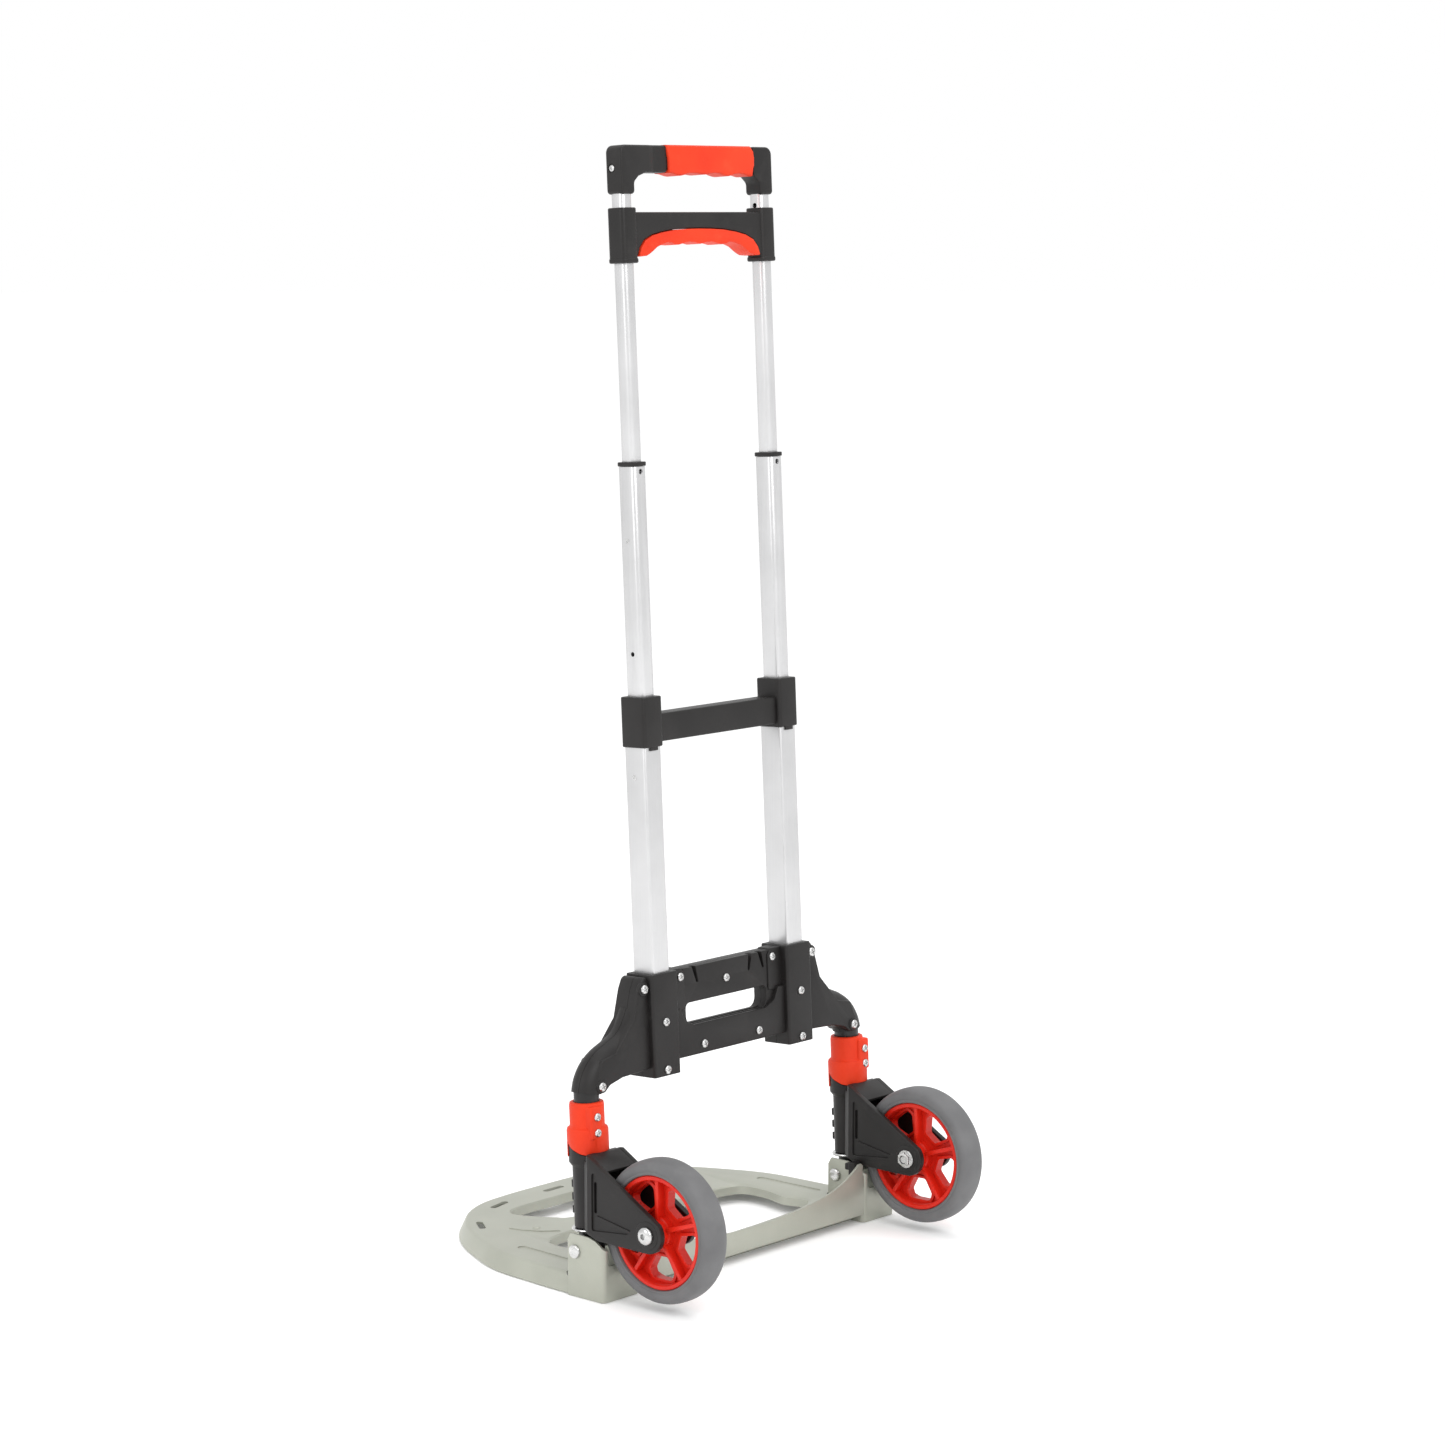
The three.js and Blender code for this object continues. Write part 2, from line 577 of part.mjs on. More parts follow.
function toePlate() {
  const { top, t, flangeFoot } = plate;
  const shell = skirtBlock(0, top).subtract(skirtBlock(-t, top - t));
  const flanges = [frontOpening, rearOpening].map((half) => standing(half, t, flangeFoot, top - t / 2));
  const openings = [frontOpening, rearOpening].map((half) => standing(half, 0, -1, top + 3));
  const rear = ear.rear;
  const half = [
    [0, 27], [48, 30], [107, 38.5], [wall.edge - 6, 57.5], [wall.edge, 57.5], [wall.edge, 45],
    [ear.inner + 1, 45], [ear.inner + 1, wall.foot],
  ];
  const shape = outline([...half.slice(1).reverse().map(([x, z]) => [-x, z]), ...half]);
  const rearWall = plateXZ(shape, rear - wall.t, rear);
  const strip = block([-ear.inner - 1, ear.inner + 1], [60, rear], [top - t, top]);
  const wells = sides.map(([, s]) => (
    block([s * legX - legWell.halfX, s * legX + legWell.halfX], legWell.y, [-1, top + 3])
  ));
  const boxes = sides.flatMap(([, s]) => earBox(s));
  let body = shell;
  [...flanges, join(rearWall, strip, ...boxes)].forEach((piece) => { body = body.add(piece); });
  openings.forEach((opening) => { body = body.subtract(opening); });
  return cut(body, pinX(pinR + 0.1, -210, 210, pivot), ...wells);
}

function pivotPin(s) {
  const x0 = Math.min(s * (ear.inner - gap), s * (ear.outer + gap));
  const x1 = Math.max(s * (ear.inner - gap), s * (ear.outer + gap));
  return join(
    pinX(pinR, x0 - 1, x1 + 1, pivot),
    pinX(5.6, x0 - 2, x0, pivot),
    pinX(5.6, x1, x1 + 2, pivot),
  );
}

// ---- the whole truck -------------------------------------------------------------------
frame.updateMatrix();
sides.forEach(([name, s]) => rails(name, s));
put('rail_bracket', railBracket(), 'blackPlastic', frame);
put('handle_body', handleBody(), 'blackPlastic', frame);
put('handle_grip', handleGrip(), 'orangePlastic', frame);
for (const [name, s] of sides) {
  const face = s * handle.halfX;
  const [from, to] = [face - s * handleScrew.reach, face + s * handleScrew.rise];
  put(`handle_screw_${name}`, pinX(handleScrew.r, Math.min(from, to), Math.max(from, to),
    handleScrew.at, 12), 'zincSteel', frame);
}
put('release_bar', releaseBar(), 'blackPlastic', frame);
put('release_pad', releasePad(), 'orangePlastic', frame);
baseHousing();
for (const [name, s] of sides) {
  legsAndForks(name, s);
  wheel(name, s);
  put(`pivot_pin_${name}`, pivotPin(s), 'zincSteel');
}
put('toe_plate', toePlate(), 'paintedPlate');

export default truck;
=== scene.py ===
import json
import math
import bpy
from mathutils import Matrix, Vector


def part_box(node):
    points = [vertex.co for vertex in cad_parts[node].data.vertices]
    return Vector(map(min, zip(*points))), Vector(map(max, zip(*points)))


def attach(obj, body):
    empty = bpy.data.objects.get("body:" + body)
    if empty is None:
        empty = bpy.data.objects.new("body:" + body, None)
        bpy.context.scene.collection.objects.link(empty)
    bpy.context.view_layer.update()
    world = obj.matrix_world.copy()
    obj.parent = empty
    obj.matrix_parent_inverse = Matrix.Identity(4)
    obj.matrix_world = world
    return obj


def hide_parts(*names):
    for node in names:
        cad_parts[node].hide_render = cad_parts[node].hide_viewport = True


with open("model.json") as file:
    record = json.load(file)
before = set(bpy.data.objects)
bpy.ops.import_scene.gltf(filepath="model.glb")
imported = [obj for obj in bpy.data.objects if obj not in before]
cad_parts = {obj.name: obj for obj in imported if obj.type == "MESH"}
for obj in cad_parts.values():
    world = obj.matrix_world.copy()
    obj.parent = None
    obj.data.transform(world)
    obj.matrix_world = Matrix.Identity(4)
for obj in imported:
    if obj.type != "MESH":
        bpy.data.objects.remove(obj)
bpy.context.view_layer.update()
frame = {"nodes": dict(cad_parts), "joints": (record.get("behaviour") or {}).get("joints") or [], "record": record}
print("frame loaded:", len(frame["nodes"]), "nodes")

# The telescopic frame leans forwards. Its parts are modelled upright in millimetres,
# as x across, y rearwards and z along the rails, and are leant over when finished.
leanAxis = Vector(next(j for j in frame["joints"] if j["name"] == "release_squeeze")["axis"])
leanAngle = math.atan2(-leanAxis.y, leanAxis.z)
mm = 0.001


def standBox(node):
    # bounds with the lean taken out
    back = Matrix.Rotation(-leanAngle, 3, "X")
    spots = [back @ v.co / mm for v in frame["nodes"][node].data.vertices]
    return [Vector([pick(p[i] for p in spots) for i in range(3)]) for pick in (min, max)]


railLow, railHigh = standBox("outer_rail_left")
railFoot = 173  # height of the rails' lower ends on the frame's own axis
origin = Vector((0, (railLow.y + railHigh.y) / 2, railLow.z - railFoot))
leanOver = Matrix.Rotation(leanAngle, 4, "X") @ Matrix.Translation(origin)


def ownBox(node):
    # bounds in the frame's own upright millimetres
    low, high = standBox(node)
    return low - origin, high - origin


def flatBox(node):
    # bounds in millimetres as the part stands
    low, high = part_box(node)
    return low / mm, high / mm


# modelling helpers

def only(*pieces):
    bpy.ops.object.select_all(action="DESELECT")
    for piece in pieces:
        piece.select_set(True)
    bpy.context.view_layer.objects.active = pieces[0]


def startEdit(piece, kind, test):
    # edit mode with the vertices, edges or polygons that pass the test selected
    only(piece)
    mesh = piece.data
    for group in (mesh.vertices, mesh.edges, mesh.polygons):
        group.foreach_set("select", [False] * len(group))
    for item in getattr(mesh, kind):
        if kind == "edges":
            item.select = test(*[mesh.vertices[i].co for i in item.vertices])
        elif kind == "polygons":
            item.select = test(item.center, item.normal)
        else:
            item.select = test(item.co)
    bpy.context.tool_settings.mesh_select_mode = (kind == "vertices", kind == "edges", kind == "polygons")
    bpy.ops.object.mode_set(mode="EDIT")


def endEdit():
    bpy.ops.object.mode_set(mode="OBJECT")


def everything(*_):
    return True


def tidy(piece, distance=0.001):
    startEdit(piece, "vertices", everything)
    bpy.ops.mesh.remove_doubles(threshold=distance)
    bpy.ops.mesh.delete_loose()
    bpy.ops.mesh.select_all(action="SELECT")
    bpy.ops.mesh.normals_make_consistent(inside=False)
    endEdit()
    return piece


def block(low, high):
    bpy.ops.object.select_all(action="DESELECT")
    low, high = Vector(low), Vector(high)
    bpy.ops.mesh.primitive_cube_add(size=1, location=(low + high) / 2)
    piece = bpy.context.object
    piece.scale = [abs(c) for c in high - low]
    bpy.ops.object.transform_apply(location=True, rotation=True, scale=True)
    return piece


def rod(radius, start, end, sides=32):
    bpy.ops.object.select_all(action="DESELECT")
    start, end = Vector(start), Vector(end)
    bpy.ops.mesh.primitive_cylinder_add(vertices=sides, radius=radius, depth=(end - start).length)
    piece = bpy.context.object
    turn = (end - start).to_track_quat("Z", "Y").to_matrix().to_4x4()
    piece.matrix_world = Matrix.Translation((start + end) / 2) @ turn
    bpy.ops.object.transform_apply(location=True, rotation=True, scale=True)
    return piece


def filleted(points, steps=5):
    # corners given a third value are rounded to that radius
    corners = []
    for i, point in enumerate(points):
        here = Vector(point[:2])
        before, after = Vector(points[i - 1][:2]) - here, Vector(points[(i + 1) % len(points)][:2]) - here
        if len(point) < 3:
            corners.append(here)
            continue
        half = before.angle(after) / 2
        reach = min(point[2] / math.tan(half), 0.49 * before.length, 0.49 * after.length)
        radius = reach * math.tan(half)
        centre = here + (before.normalized() + after.normalized()).normalized() * radius / math.sin(half)
        first = here + before.normalized() * reach - centre
        last = here + after.normalized() * reach - centre
        corners += [centre + first.slerp(last, k / steps) * radius for k in range(steps + 1)]
    return corners


def smoothed(points, steps=6):
    # a closed curve through every point
    curve = []
    count = len(points)
    for i in range(count):
        a, b, c, d = [Vector(points[(i + k) % count]) for k in (-1, 0, 1, 2)]
        for k in range(steps):
            t = k / steps
            curve.append(0.5 * (2 * b + (c - a) * t + (2 * a - 5 * b + 4 * c - d) * t ** 2
                                + (3 * b - a - 3 * c + d) * t ** 3))
    return curve


def slab(outline, start, end, along="Y"):
    # an outline drawn in the two other axes and pushed out along one axis
    place = {"X": lambda a, b: (start, a, b),
             "Y": lambda a, b: (a, start, b),
             "Z": lambda a, b: (a, b, start)}[along]
    push = {"X": (end - start, 0, 0), "Y": (0, end - start, 0), "Z": (0, 0, end - start)}[along]
    bpy.ops.object.select_all(action="DESELECT")
    bpy.ops.mesh.primitive_circle_add(vertices=len(outline), radius=1, fill_type="NGON")
    piece = bpy.context.object
    for vertex, spot in zip(piece.data.vertices, outline):
        vertex.co = place(*spot)
    startEdit(piece, "polygons", everything)
    bpy.ops.mesh.extrude_region_move(TRANSFORM_OT_translate={"value": push})
    bpy.ops.mesh.select_all(action="SELECT")
    bpy.ops.mesh.normals_make_consistent(inside=False)
    endEdit()
    return piece


def turned(profile, centre, axis="Z", steps=64):
    # a closed profile of (radius, height) spun about an axis through centre
    bpy.ops.object.select_all(action="DESELECT")
    bpy.ops.mesh.primitive_circle_add(vertices=len(profile), radius=1, fill_type="NOTHING")
    piece = bpy.context.object
    for vertex, (radius, height) in zip(piece.data.vertices, profile):
        vertex.co = {"X": (height, radius, 0), "Y": (radius, height, 0), "Z": (radius, 0, height)}[axis]
    startEdit(piece, "vertices", everything)
    line = {"X": (1, 0, 0), "Y": (0, 1, 0), "Z": (0, 0, 1)}[axis]
    bpy.ops.mesh.spin(steps=steps, angle=2 * math.pi, center=(0, 0, 0), axis=line)
    endEdit()
    tidy(piece)
    piece.data.transform(Matrix.Translation(centre))
    return piece


def swept(points, radius, sides=8):
    curve = bpy.data.curves.new("path", "CURVE")
    curve.dimensions = "3D"
    curve.bevel_depth = radius
    curve.bevel_resolution = sides
    curve.use_fill_caps = True
    line = curve.splines.new("POLY")
    line.points.add(len(points) - 1)
    for point, spot in zip(line.points, points):
        point.co = (*spot, 1)
    piece = bpy.data.objects.new("sweep", curve)
    bpy.context.scene.collection.objects.link(piece)
    only(piece)
    bpy.ops.object.convert(target="MESH")
    return tidy(bpy.context.object)


def apply(piece, kind, **settings):
    only(piece)
    modifier = piece.modifiers.new("shape", kind)
    for name, value in settings.items():
        setattr(modifier, name, value)
    bpy.ops.object.modifier_apply(modifier=modifier.name)
    return piece


def combine(piece, others, operation):
    for other in others:
        apply(piece, "BOOLEAN", object=other, operation=operation, solver="EXACT")
        bpy.data.objects.remove(other)
        tidy(piece, 0.002)
    return piece


def carve(piece, *tools):
    return combine(piece, tools, "DIFFERENCE")


def fuse(piece, *others):
    return combine(piece, others, "UNION")


def roundEdges(piece, width, steps=3, angle=35):
    return apply(piece, "BEVEL", width=width, segments=steps, limit_method="ANGLE",
                 angle_limit=math.radians(angle), miter_outer="MITER_ARC")


def roundUprights(piece, radius, steps=6):
    startEdit(piece, "edges", lambda a, b: abs(a.z - b.z) > 0.5 * (a - b).length)
    bpy.ops.mesh.bevel(offset=radius, segments=steps, affect="EDGES")
    endEdit()
    return piece


def openTube(low, high, corner, wall):
    # a rounded square tube with open ends
    tube = roundUprights(block(low, high), corner)
    startEdit(tube, "polygons", lambda centre, normal: abs(normal.z) > 0.9)
    bpy.ops.mesh.delete(type="FACE")
    endEdit()
    return apply(tube, "SOLIDIFY", thickness=wall, offset=-1, use_even_offset=True)


def copied(piece, change):
    only(piece)
    bpy.ops.object.duplicate()
    twin = bpy.context.object
    twin.data.transform(change)
    if change.determinant() < 0:
        startEdit(twin, "polygons", everything)
        bpy.ops.mesh.flip_normals()
        endEdit()
    return twin


def mirrored(piece):
    return copied(piece, Matrix.Scale(-1, 4, (1, 0, 0)))


def finish(piece, name, body, slot, *nodes, leaning=True, smooth=32):
    # from upright millimetres to its place, with its name, body and finish
    piece.data.transform(Matrix.Scale(mm, 4) @ (leanOver if leaning else Matrix.Identity(4)))
    piece.name = name
    only(piece)
    bpy.ops.object.shade_smooth_by_angle(angle=math.radians(smooth))
    piece.data.materials.clear()
    piece.data.materials.append(finishes[slot])
    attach(piece, body)
    if nodes:
        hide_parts(*nodes)
    return piece


def finishPair(piece, name, body, slot, nodes=(), leaning=True, bodies=None, smooth=32):
    twin = mirrored(piece)
    for side, half in (("left", piece), ("right", twin)):
        finish(half, name + side.capitalize(), bodies[side] if bodies else body, slot,
               *[f"{node}_{side}" for node in nodes], leaning=leaning, smooth=smooth)


# material helpers

class Wire:
    # a socket that can be used in sums
    def __init__(self, sheet, socket):
        self.sheet = sheet
        self.socket = socket

    def sum(self, operation, *values):
        return self.sheet.make("ShaderNodeMath", {"operation": operation}, *values)

    def __add__(self, other):
        return self.sum("ADD", self, other)

    def __sub__(self, other):
        return self.sum("SUBTRACT", self, other)

    def __rsub__(self, other):
        return self.sum("SUBTRACT", other, self)

    def __mul__(self, other):
        return self.sum("MULTIPLY", self, other)

    def __pow__(self, other):
        return self.sum("POWER", self, other)

    __radd__ = __add__
    __rmul__ = __mul__


class Sheet:
    # one material's node tree
    def __init__(self, name):
        self.material = bpy.data.materials.new(name)
        self.material.use_nodes = True
        self.tree = self.material.node_tree
        self.shader = self.tree.nodes["Principled BSDF"]

    def make(self, kind, settings, *values, out=0, **named):
        node = self.tree.nodes.new(kind)
        for name, value in settings.items():
            if name == "stops":
                for stop, (place, color) in zip(node.color_ramp.elements, value):
                    stop.position = place
                    stop.color = (*color, 1) if not isinstance(color, (int, float)) else (color, color,
                                                                                          color, 1)
            else:
                setattr(node, name, value)
        for key, value in [*enumerate(values), *named.items()]:
            socket = node.inputs[key if isinstance(key, int) else key.replace("_", " ")]
            if isinstance(value, Wire):
                self.tree.links.new(value.socket, socket)
            else:
                socket.default_value = value
        return Wire(self, node.outputs[out])

    def place(self, stretch=(1, 1, 1)):
        spot = self.make("ShaderNodeTexCoord", {}, out=3)
        return self.make("ShaderNodeMapping", {}, spot, (0, 0, 0), (-leanAngle, 0, 0), stretch)

    def noise(self, scale, detail=3, rough=0.5, stretch=(1, 1, 1)):
        return self.make("ShaderNodeTexNoise", {}, Vector=self.place(stretch), Scale=scale, Detail=detail,
                         Roughness=rough)

    def blend(self, mask, first, second):
        def rgba(value):
            return value if isinstance(value, Wire) else (*value, 1)
        node = self.tree.nodes.new("ShaderNodeMix")
        node.data_type = "RGBA"
        for index, value in ((0, mask), (6, rgba(first)), (7, rgba(second))):
            if isinstance(value, Wire):
                self.tree.links.new(value.socket, node.inputs[index])
            else:
                node.inputs[index].default_value = value
        return Wire(self, node.outputs[2])

    def ramp(self, value, low, high):
        return self.make("ShaderNodeMapRange", {"clamp": True}, value, low, high, 0.0, 1.0)

    def bump(self, height, strength, distance):
        return self.make("ShaderNodeBump", {}, Strength=strength, Distance=distance, Height=height)

    def set(self, **inputs):
        for key, value in inputs.items():
            socket = self.shader.inputs[key.replace("_", " ")]
            if isinstance(value, Wire):
                self.tree.links.new(value.socket, socket)
            else:
                socket.default_value = value if not isinstance(value, tuple) else (*value, 1)
        return self.material


def moulded(name, look):
    # moulded plastic: fine grain, faint mottling and light rubbed patches
    sheet = Sheet(name)
    mottle = sheet.noise(look["mottle"], 4)
    rubbed = sheet.ramp(sheet.noise(look["rub"], 5, 0.65), 0.56, 0.72)
    grain = sheet.noise(look["grain"], 2, 0.6)
    color = sheet.blend(sheet.ramp(mottle, 0.35, 0.65), look["dark"], look["light"])
    color = sheet.blend(rubbed * look["wear"], color, look["worn"])
    return sheet.set(Base_Color=color, Roughness=look["rough"] + (mottle - 0.5) * 0.12 + rubbed * 0.08,
                     Normal=sheet.bump(grain, look["bump"], 0.0002), Specular_IOR_Level=look["gloss"])


def brushed(name, look):
    # drawn or plated metal: fine lines along the rails and soft stains
    sheet = Sheet(name)
    lines = sheet.noise(look["lines"], 3, 0.6, look["stretch"])
    stain = sheet.noise(look["stain"], 4, 0.55)
    color = sheet.blend(sheet.ramp(stain, 0.3, 0.7), look["dark"], look["light"])
    color = sheet.blend(sheet.ramp(lines, 0.3, 0.75) * 0.25, color, look["line"])
    return sheet.set(Base_Color=color, Metallic=look["metal"],
                     Roughness=look["rough"] + (lines - 0.5) * look["spread"] + (stain - 0.5) * 0.1,
                     Normal=sheet.bump(lines, look["bump"], 0.0001))


finishes = {"satin_aluminium": brushed("satinAluminium",
                                       {"dark": (0.56, 0.56, 0.565), "light": (0.64, 0.64, 0.645),
                                        "line": (0.72, 0.72, 0.72), "metal": 0.85, "rough": 0.36,
                                        "spread": 0.16, "lines": 900, "stretch": (1, 1, 0.012),
                                        "stain": 14, "bump": 0.12}),
            "zinc_steel": brushed("zincSteel",
                                  {"dark": (0.5, 0.5, 0.5), "light": (0.66, 0.66, 0.65),
                                   "line": (0.8, 0.8, 0.8), "metal": 1.0, "rough": 0.27, "spread": 0.1,
                                   "lines": 500, "stretch": (1, 1, 1), "stain": 160, "bump": 0.1}),
            "bearing_brass": brushed("bearingBrass",
                                     {"dark": (0.42, 0.3, 0.14), "light": (0.6, 0.44, 0.2),
                                      "line": (0.7, 0.52, 0.25), "metal": 1.0, "rough": 0.35,
                                      "spread": 0.1, "lines": 400, "stretch": (1, 1, 1), "stain": 120,
                                      "bump": 0.1}),
            "black_plastic": moulded("blackPlastic",
                                     {"dark": (0.0105, 0.0095, 0.0093), "light": (0.0155, 0.0142, 0.0138),
                                      "worn": (0.045, 0.042, 0.04), "wear": 0.22, "mottle": 26, "rub": 34,
                                      "grain": 2600, "rough": 0.46, "gloss": 0.3, "bump": 0.25}),
            "black_steel": moulded("blackSteel",
                                   {"dark": (0.009, 0.0088, 0.0088), "light": (0.014, 0.0138, 0.0138),
                                    "worn": (0.05, 0.05, 0.05), "wear": 0.2, "mottle": 30, "rub": 60,
                                    "grain": 1500, "rough": 0.36, "gloss": 0.4, "bump": 0.18}),
            "orange_plastic": moulded("orangePlastic",
                                      {"dark": (0.64, 0.03, 0.006), "light": (0.72, 0.042, 0.009),
                                       "worn": (0.86, 0.12, 0.05), "wear": 0.2, "mottle": 22, "rub": 40,
                                       "grain": 2300, "rough": 0.5, "gloss": 0.22, "bump": 0.22}),
            "red_plastic": moulded("redPlastic",
                                   {"dark": (0.58, 0.011, 0.004), "light": (0.66, 0.018, 0.006),
                                    "worn": (0.85, 0.09, 0.05), "wear": 0.15, "mottle": 24, "rub": 40,
                                    "grain": 1800, "rough": 0.36, "gloss": 0.3, "bump": 0.12}),
            "grey_tyre": moulded("greyTyre",
                                 {"dark": (0.12, 0.12, 0.123), "light": (0.15, 0.15, 0.153),
                                  "worn": (0.2, 0.198, 0.195), "wear": 0.3, "mottle": 30, "rub": 45,
                                  "grain": 1500, "rough": 0.58, "gloss": 0.35, "bump": 0.2}),
            "painted_plate": brushed("paintedPlate",
                                     {"dark": (0.35, 0.36, 0.305), "light": (0.41, 0.42, 0.36),
                                      "line": (0.5, 0.51, 0.45), "metal": 0.45, "rough": 0.42,
                                      "spread": 0.08, "lines": 1600, "stretch": (1, 1, 1), "stain": 18,
                                      "bump": 0.1}), }
for row in frame["record"]["subparts"]:
    mesh = frame["nodes"][row["node"]].data
    mesh.materials.clear()
    mesh.materials.append(finishes[row["material_slot"]])
print("materials made:", len(finishes))

# camera, light and floor

viewPoint = {"spot": (2.436, 2.251, 0.9415), "tilt": 82.11, "turn": 132.17, "lens": 92.14}
camera = bpy.data.cameras.new("camera")
camera.lens = viewPoint["lens"]
camera.sensor_width = 36
cameraObject = bpy.data.objects.new("camera", camera)
cameraObject.location = viewPoint["spot"]
cameraObject.rotation_euler = (math.radians(viewPoint["tilt"]), 0, math.radians(viewPoint["turn"]))
bpy.context.scene.collection.objects.link(cameraObject)
bpy.context.scene.camera = cameraObject

bpy.ops.object.select_all(action="DESELECT")
bpy.ops.mesh.primitive_circle_add(vertices=96, radius=40, fill_type="NGON", location=(0, 0, -0.0005))
floor = bpy.context.object
floor.name = "floor"
floorSheet = Sheet("paleFloor")
floor.data.materials.append(floorSheet.set(Base_Color=(0.95, 0.95, 0.95), Roughness=0.95,
                                           Specular_IOR_Level=0.0, Emission_Color=(1, 1, 1),
                                           Emission_Strength=0.09))

world = bpy.data.worlds.new("studio")
world.use_nodes = True
world.node_tree.nodes["Background"].inputs[0].default_value = (1, 1, 1, 1)
world.node_tree.nodes["Background"].inputs[1].default_value = 1.0
bpy.context.scene.world = world
bpy.context.scene.view_settings.view_transform = "Standard"

for name, spot, size, power in (("keyLight", (0.9, 2.6, 2.4), 1.6, 36),
                                ("sideLight", (2.9, -0.6, 1.6), 1.4, 16),
                                ("topLight", (-0.6, 0.2, 3.2), 2.2, 26)):
    lamp = bpy.data.lights.new(name, "AREA")
    lamp.size = size
    lamp.energy = power
    lampObject = bpy.data.objects.new(name, lamp)
    lampObject.location = spot
    lampObject.rotation_euler = (Vector((0, 0, 0.45)) - Vector(spot)).to_track_quat("-Z", "Y").to_euler()
    bpy.context.scene.collection.objects.link(lampObject)
print("camera and lights set")

# telescopic rails, their bushes and rivets

railSet = {"corner": {"outer": 2.6, "middle": 4.2, "inner": 4.4},
           "wall": {"outer": 1.5, "middle": 1.4, "inner": 1.2},
           "body": {"outer": "frame", "middle": "middle_stage", "inner": "upper_stage"},
           "rivet": {"outer": 437, "middle": 645.5}, "lockHole": 546, "pinHole": 706, "buttonHole": 937,
           "holeRadius": 2.1, "rivetRadius": 2.3}


def rivet(x, v, s, radius):
    ring = turned([(radius * 0.45, -0.6), (radius * 0.45, 0.25), (radius * 0.6, 0.5), (radius * 0.85, 0.5),
                    (radius, 0.2), (radius, -0.6)], (0, 0, 0), "X", 28)
    ring.data.transform(Matrix.Translation((x, v, s)))
    return ring


for stage in ("outer", "middle", "inner"):
    low, high = ownBox(f"{stage}_rail_left")
    tube = openTube(low, high, railSet["corner"][stage], railSet["wall"][stage])
    roundEdges(tube, 0.22, 2, 60)
    middle = (low + high) / 2
    if stage == "middle":
        carve(tube, rod(railSet["holeRadius"], (middle.x, middle.y, railSet["lockHole"]),
                        (high.x + 2, middle.y, railSet["lockHole"])),
              rod(railSet["holeRadius"] + 0.3, (middle.x, middle.y, railSet["pinHole"]),
                  (middle.x, high.y + 2, railSet["pinHole"])))
    if stage == "inner":
        carve(tube, rod(2.4, (low.x - 2, middle.y, railSet["buttonHole"]),
                        (middle.x, middle.y, railSet["buttonHole"])))
    finishPair(tube, f"{stage}Rail", railSet["body"][stage], "satin_aluminium", [f"{stage}_rail"])
    if stage in railSet["rivet"]:
        finishPair(rivet(high.x, middle.y - 1, railSet["rivet"][stage], railSet["rivetRadius"]),
                   f"{stage}RailRivet", railSet["body"][stage], "zinc_steel")

for stage, inside, body in (("outer", "middle", "frame"), ("middle", "inner", "middle_stage")):
    low, high = ownBox(f"{stage}_bush_left")
    boreLow, boreHigh = ownBox(f"{inside}_rail_left")
    bush = roundUprights(block(low, high), railSet["corner"][stage] + 0.4)
    bore = roundUprights(block((boreLow.x - 0.3, boreLow.y - 0.3, low.z - 5),
                               (boreHigh.x + 0.3, boreHigh.y + 0.3, high.z + 5)),
                         railSet["corner"][inside])
    roundEdges(bush, 0.7, 3, 60)
    finishPair(carve(bush, bore), f"{stage}Bush", body, "black_plastic", [f"{stage}_bush"])
print("rails done")

# top handle and its finger grip

handleSet = {"corner": 7, "depth": 9.4, "barDepth": 8, "soft": 2.2, "underside": 965.3, "innerPost": 82,
             "gripEnds": (-74, 38.5), "lobes": (22.6, -8.6, -39.8, -70.5), "lobeDrop": 2.4,
             "gripDepth": 10.2}
low, high = ownBox("handle_body")
outside, inside, under = high.x, handleSet["innerPost"], handleSet["underside"]
outline = filleted([(-outside, low.z, 3.4), (-outside, high.z, handleSet["corner"]),
                    (outside, high.z, handleSet["corner"]), (outside, low.z, 3.4), (inside, low.z, 3.2),
                    (inside, 957, 5), (inside - 6, 962), (66, under, 6), (-66, under, 6),
                    (-inside + 6, 962), (-inside, 957, 5), (-inside, low.z, 3.2)], 6)
handle = slab(outline, -handleSet["depth"], handleSet["depth"])
gripLow, gripHigh = handleSet["gripEnds"]
for side in (1, -1):
    carve(handle, slab(filleted([(side * 30, 30), (side * 30, handleSet["barDepth"]),
                                 (side * 57, handleSet["barDepth"], 8),
                                 (side * 65, handleSet["depth"] + 0.6), (side * 65, 30)]), low.z + 12,
                       high.z + 5, "Z"))
carve(handle, block((gripLow, -30, 930), (gripHigh, 30, 1000)))
roundEdges(handle, handleSet["soft"], 5, 50)
fuse(handle, roundEdges(block((gripLow - 3, -7, under + 2.5), (gripHigh + 3, 7, high.z - 3)), 2))
for side in (1, -1):
    railBox = ownBox("inner_rail_left")
    ends = sorted((side * railBox[0].x, side * railBox[1].x))
    carve(handle, roundUprights(block((ends[0] - 0.3, railBox[0].y - 0.3, low.z - 5),
                                      (ends[1] + 0.3, railBox[1].y + 0.3, low.z + 22)), 4.4))
    carve(handle, rod(4.1, (side * (outside - 0.7), -2, 969), (side * (outside + 4), -2, 969)))
finish(handle, "handleBody", "upper_stage", "black_plastic", "handle_body")

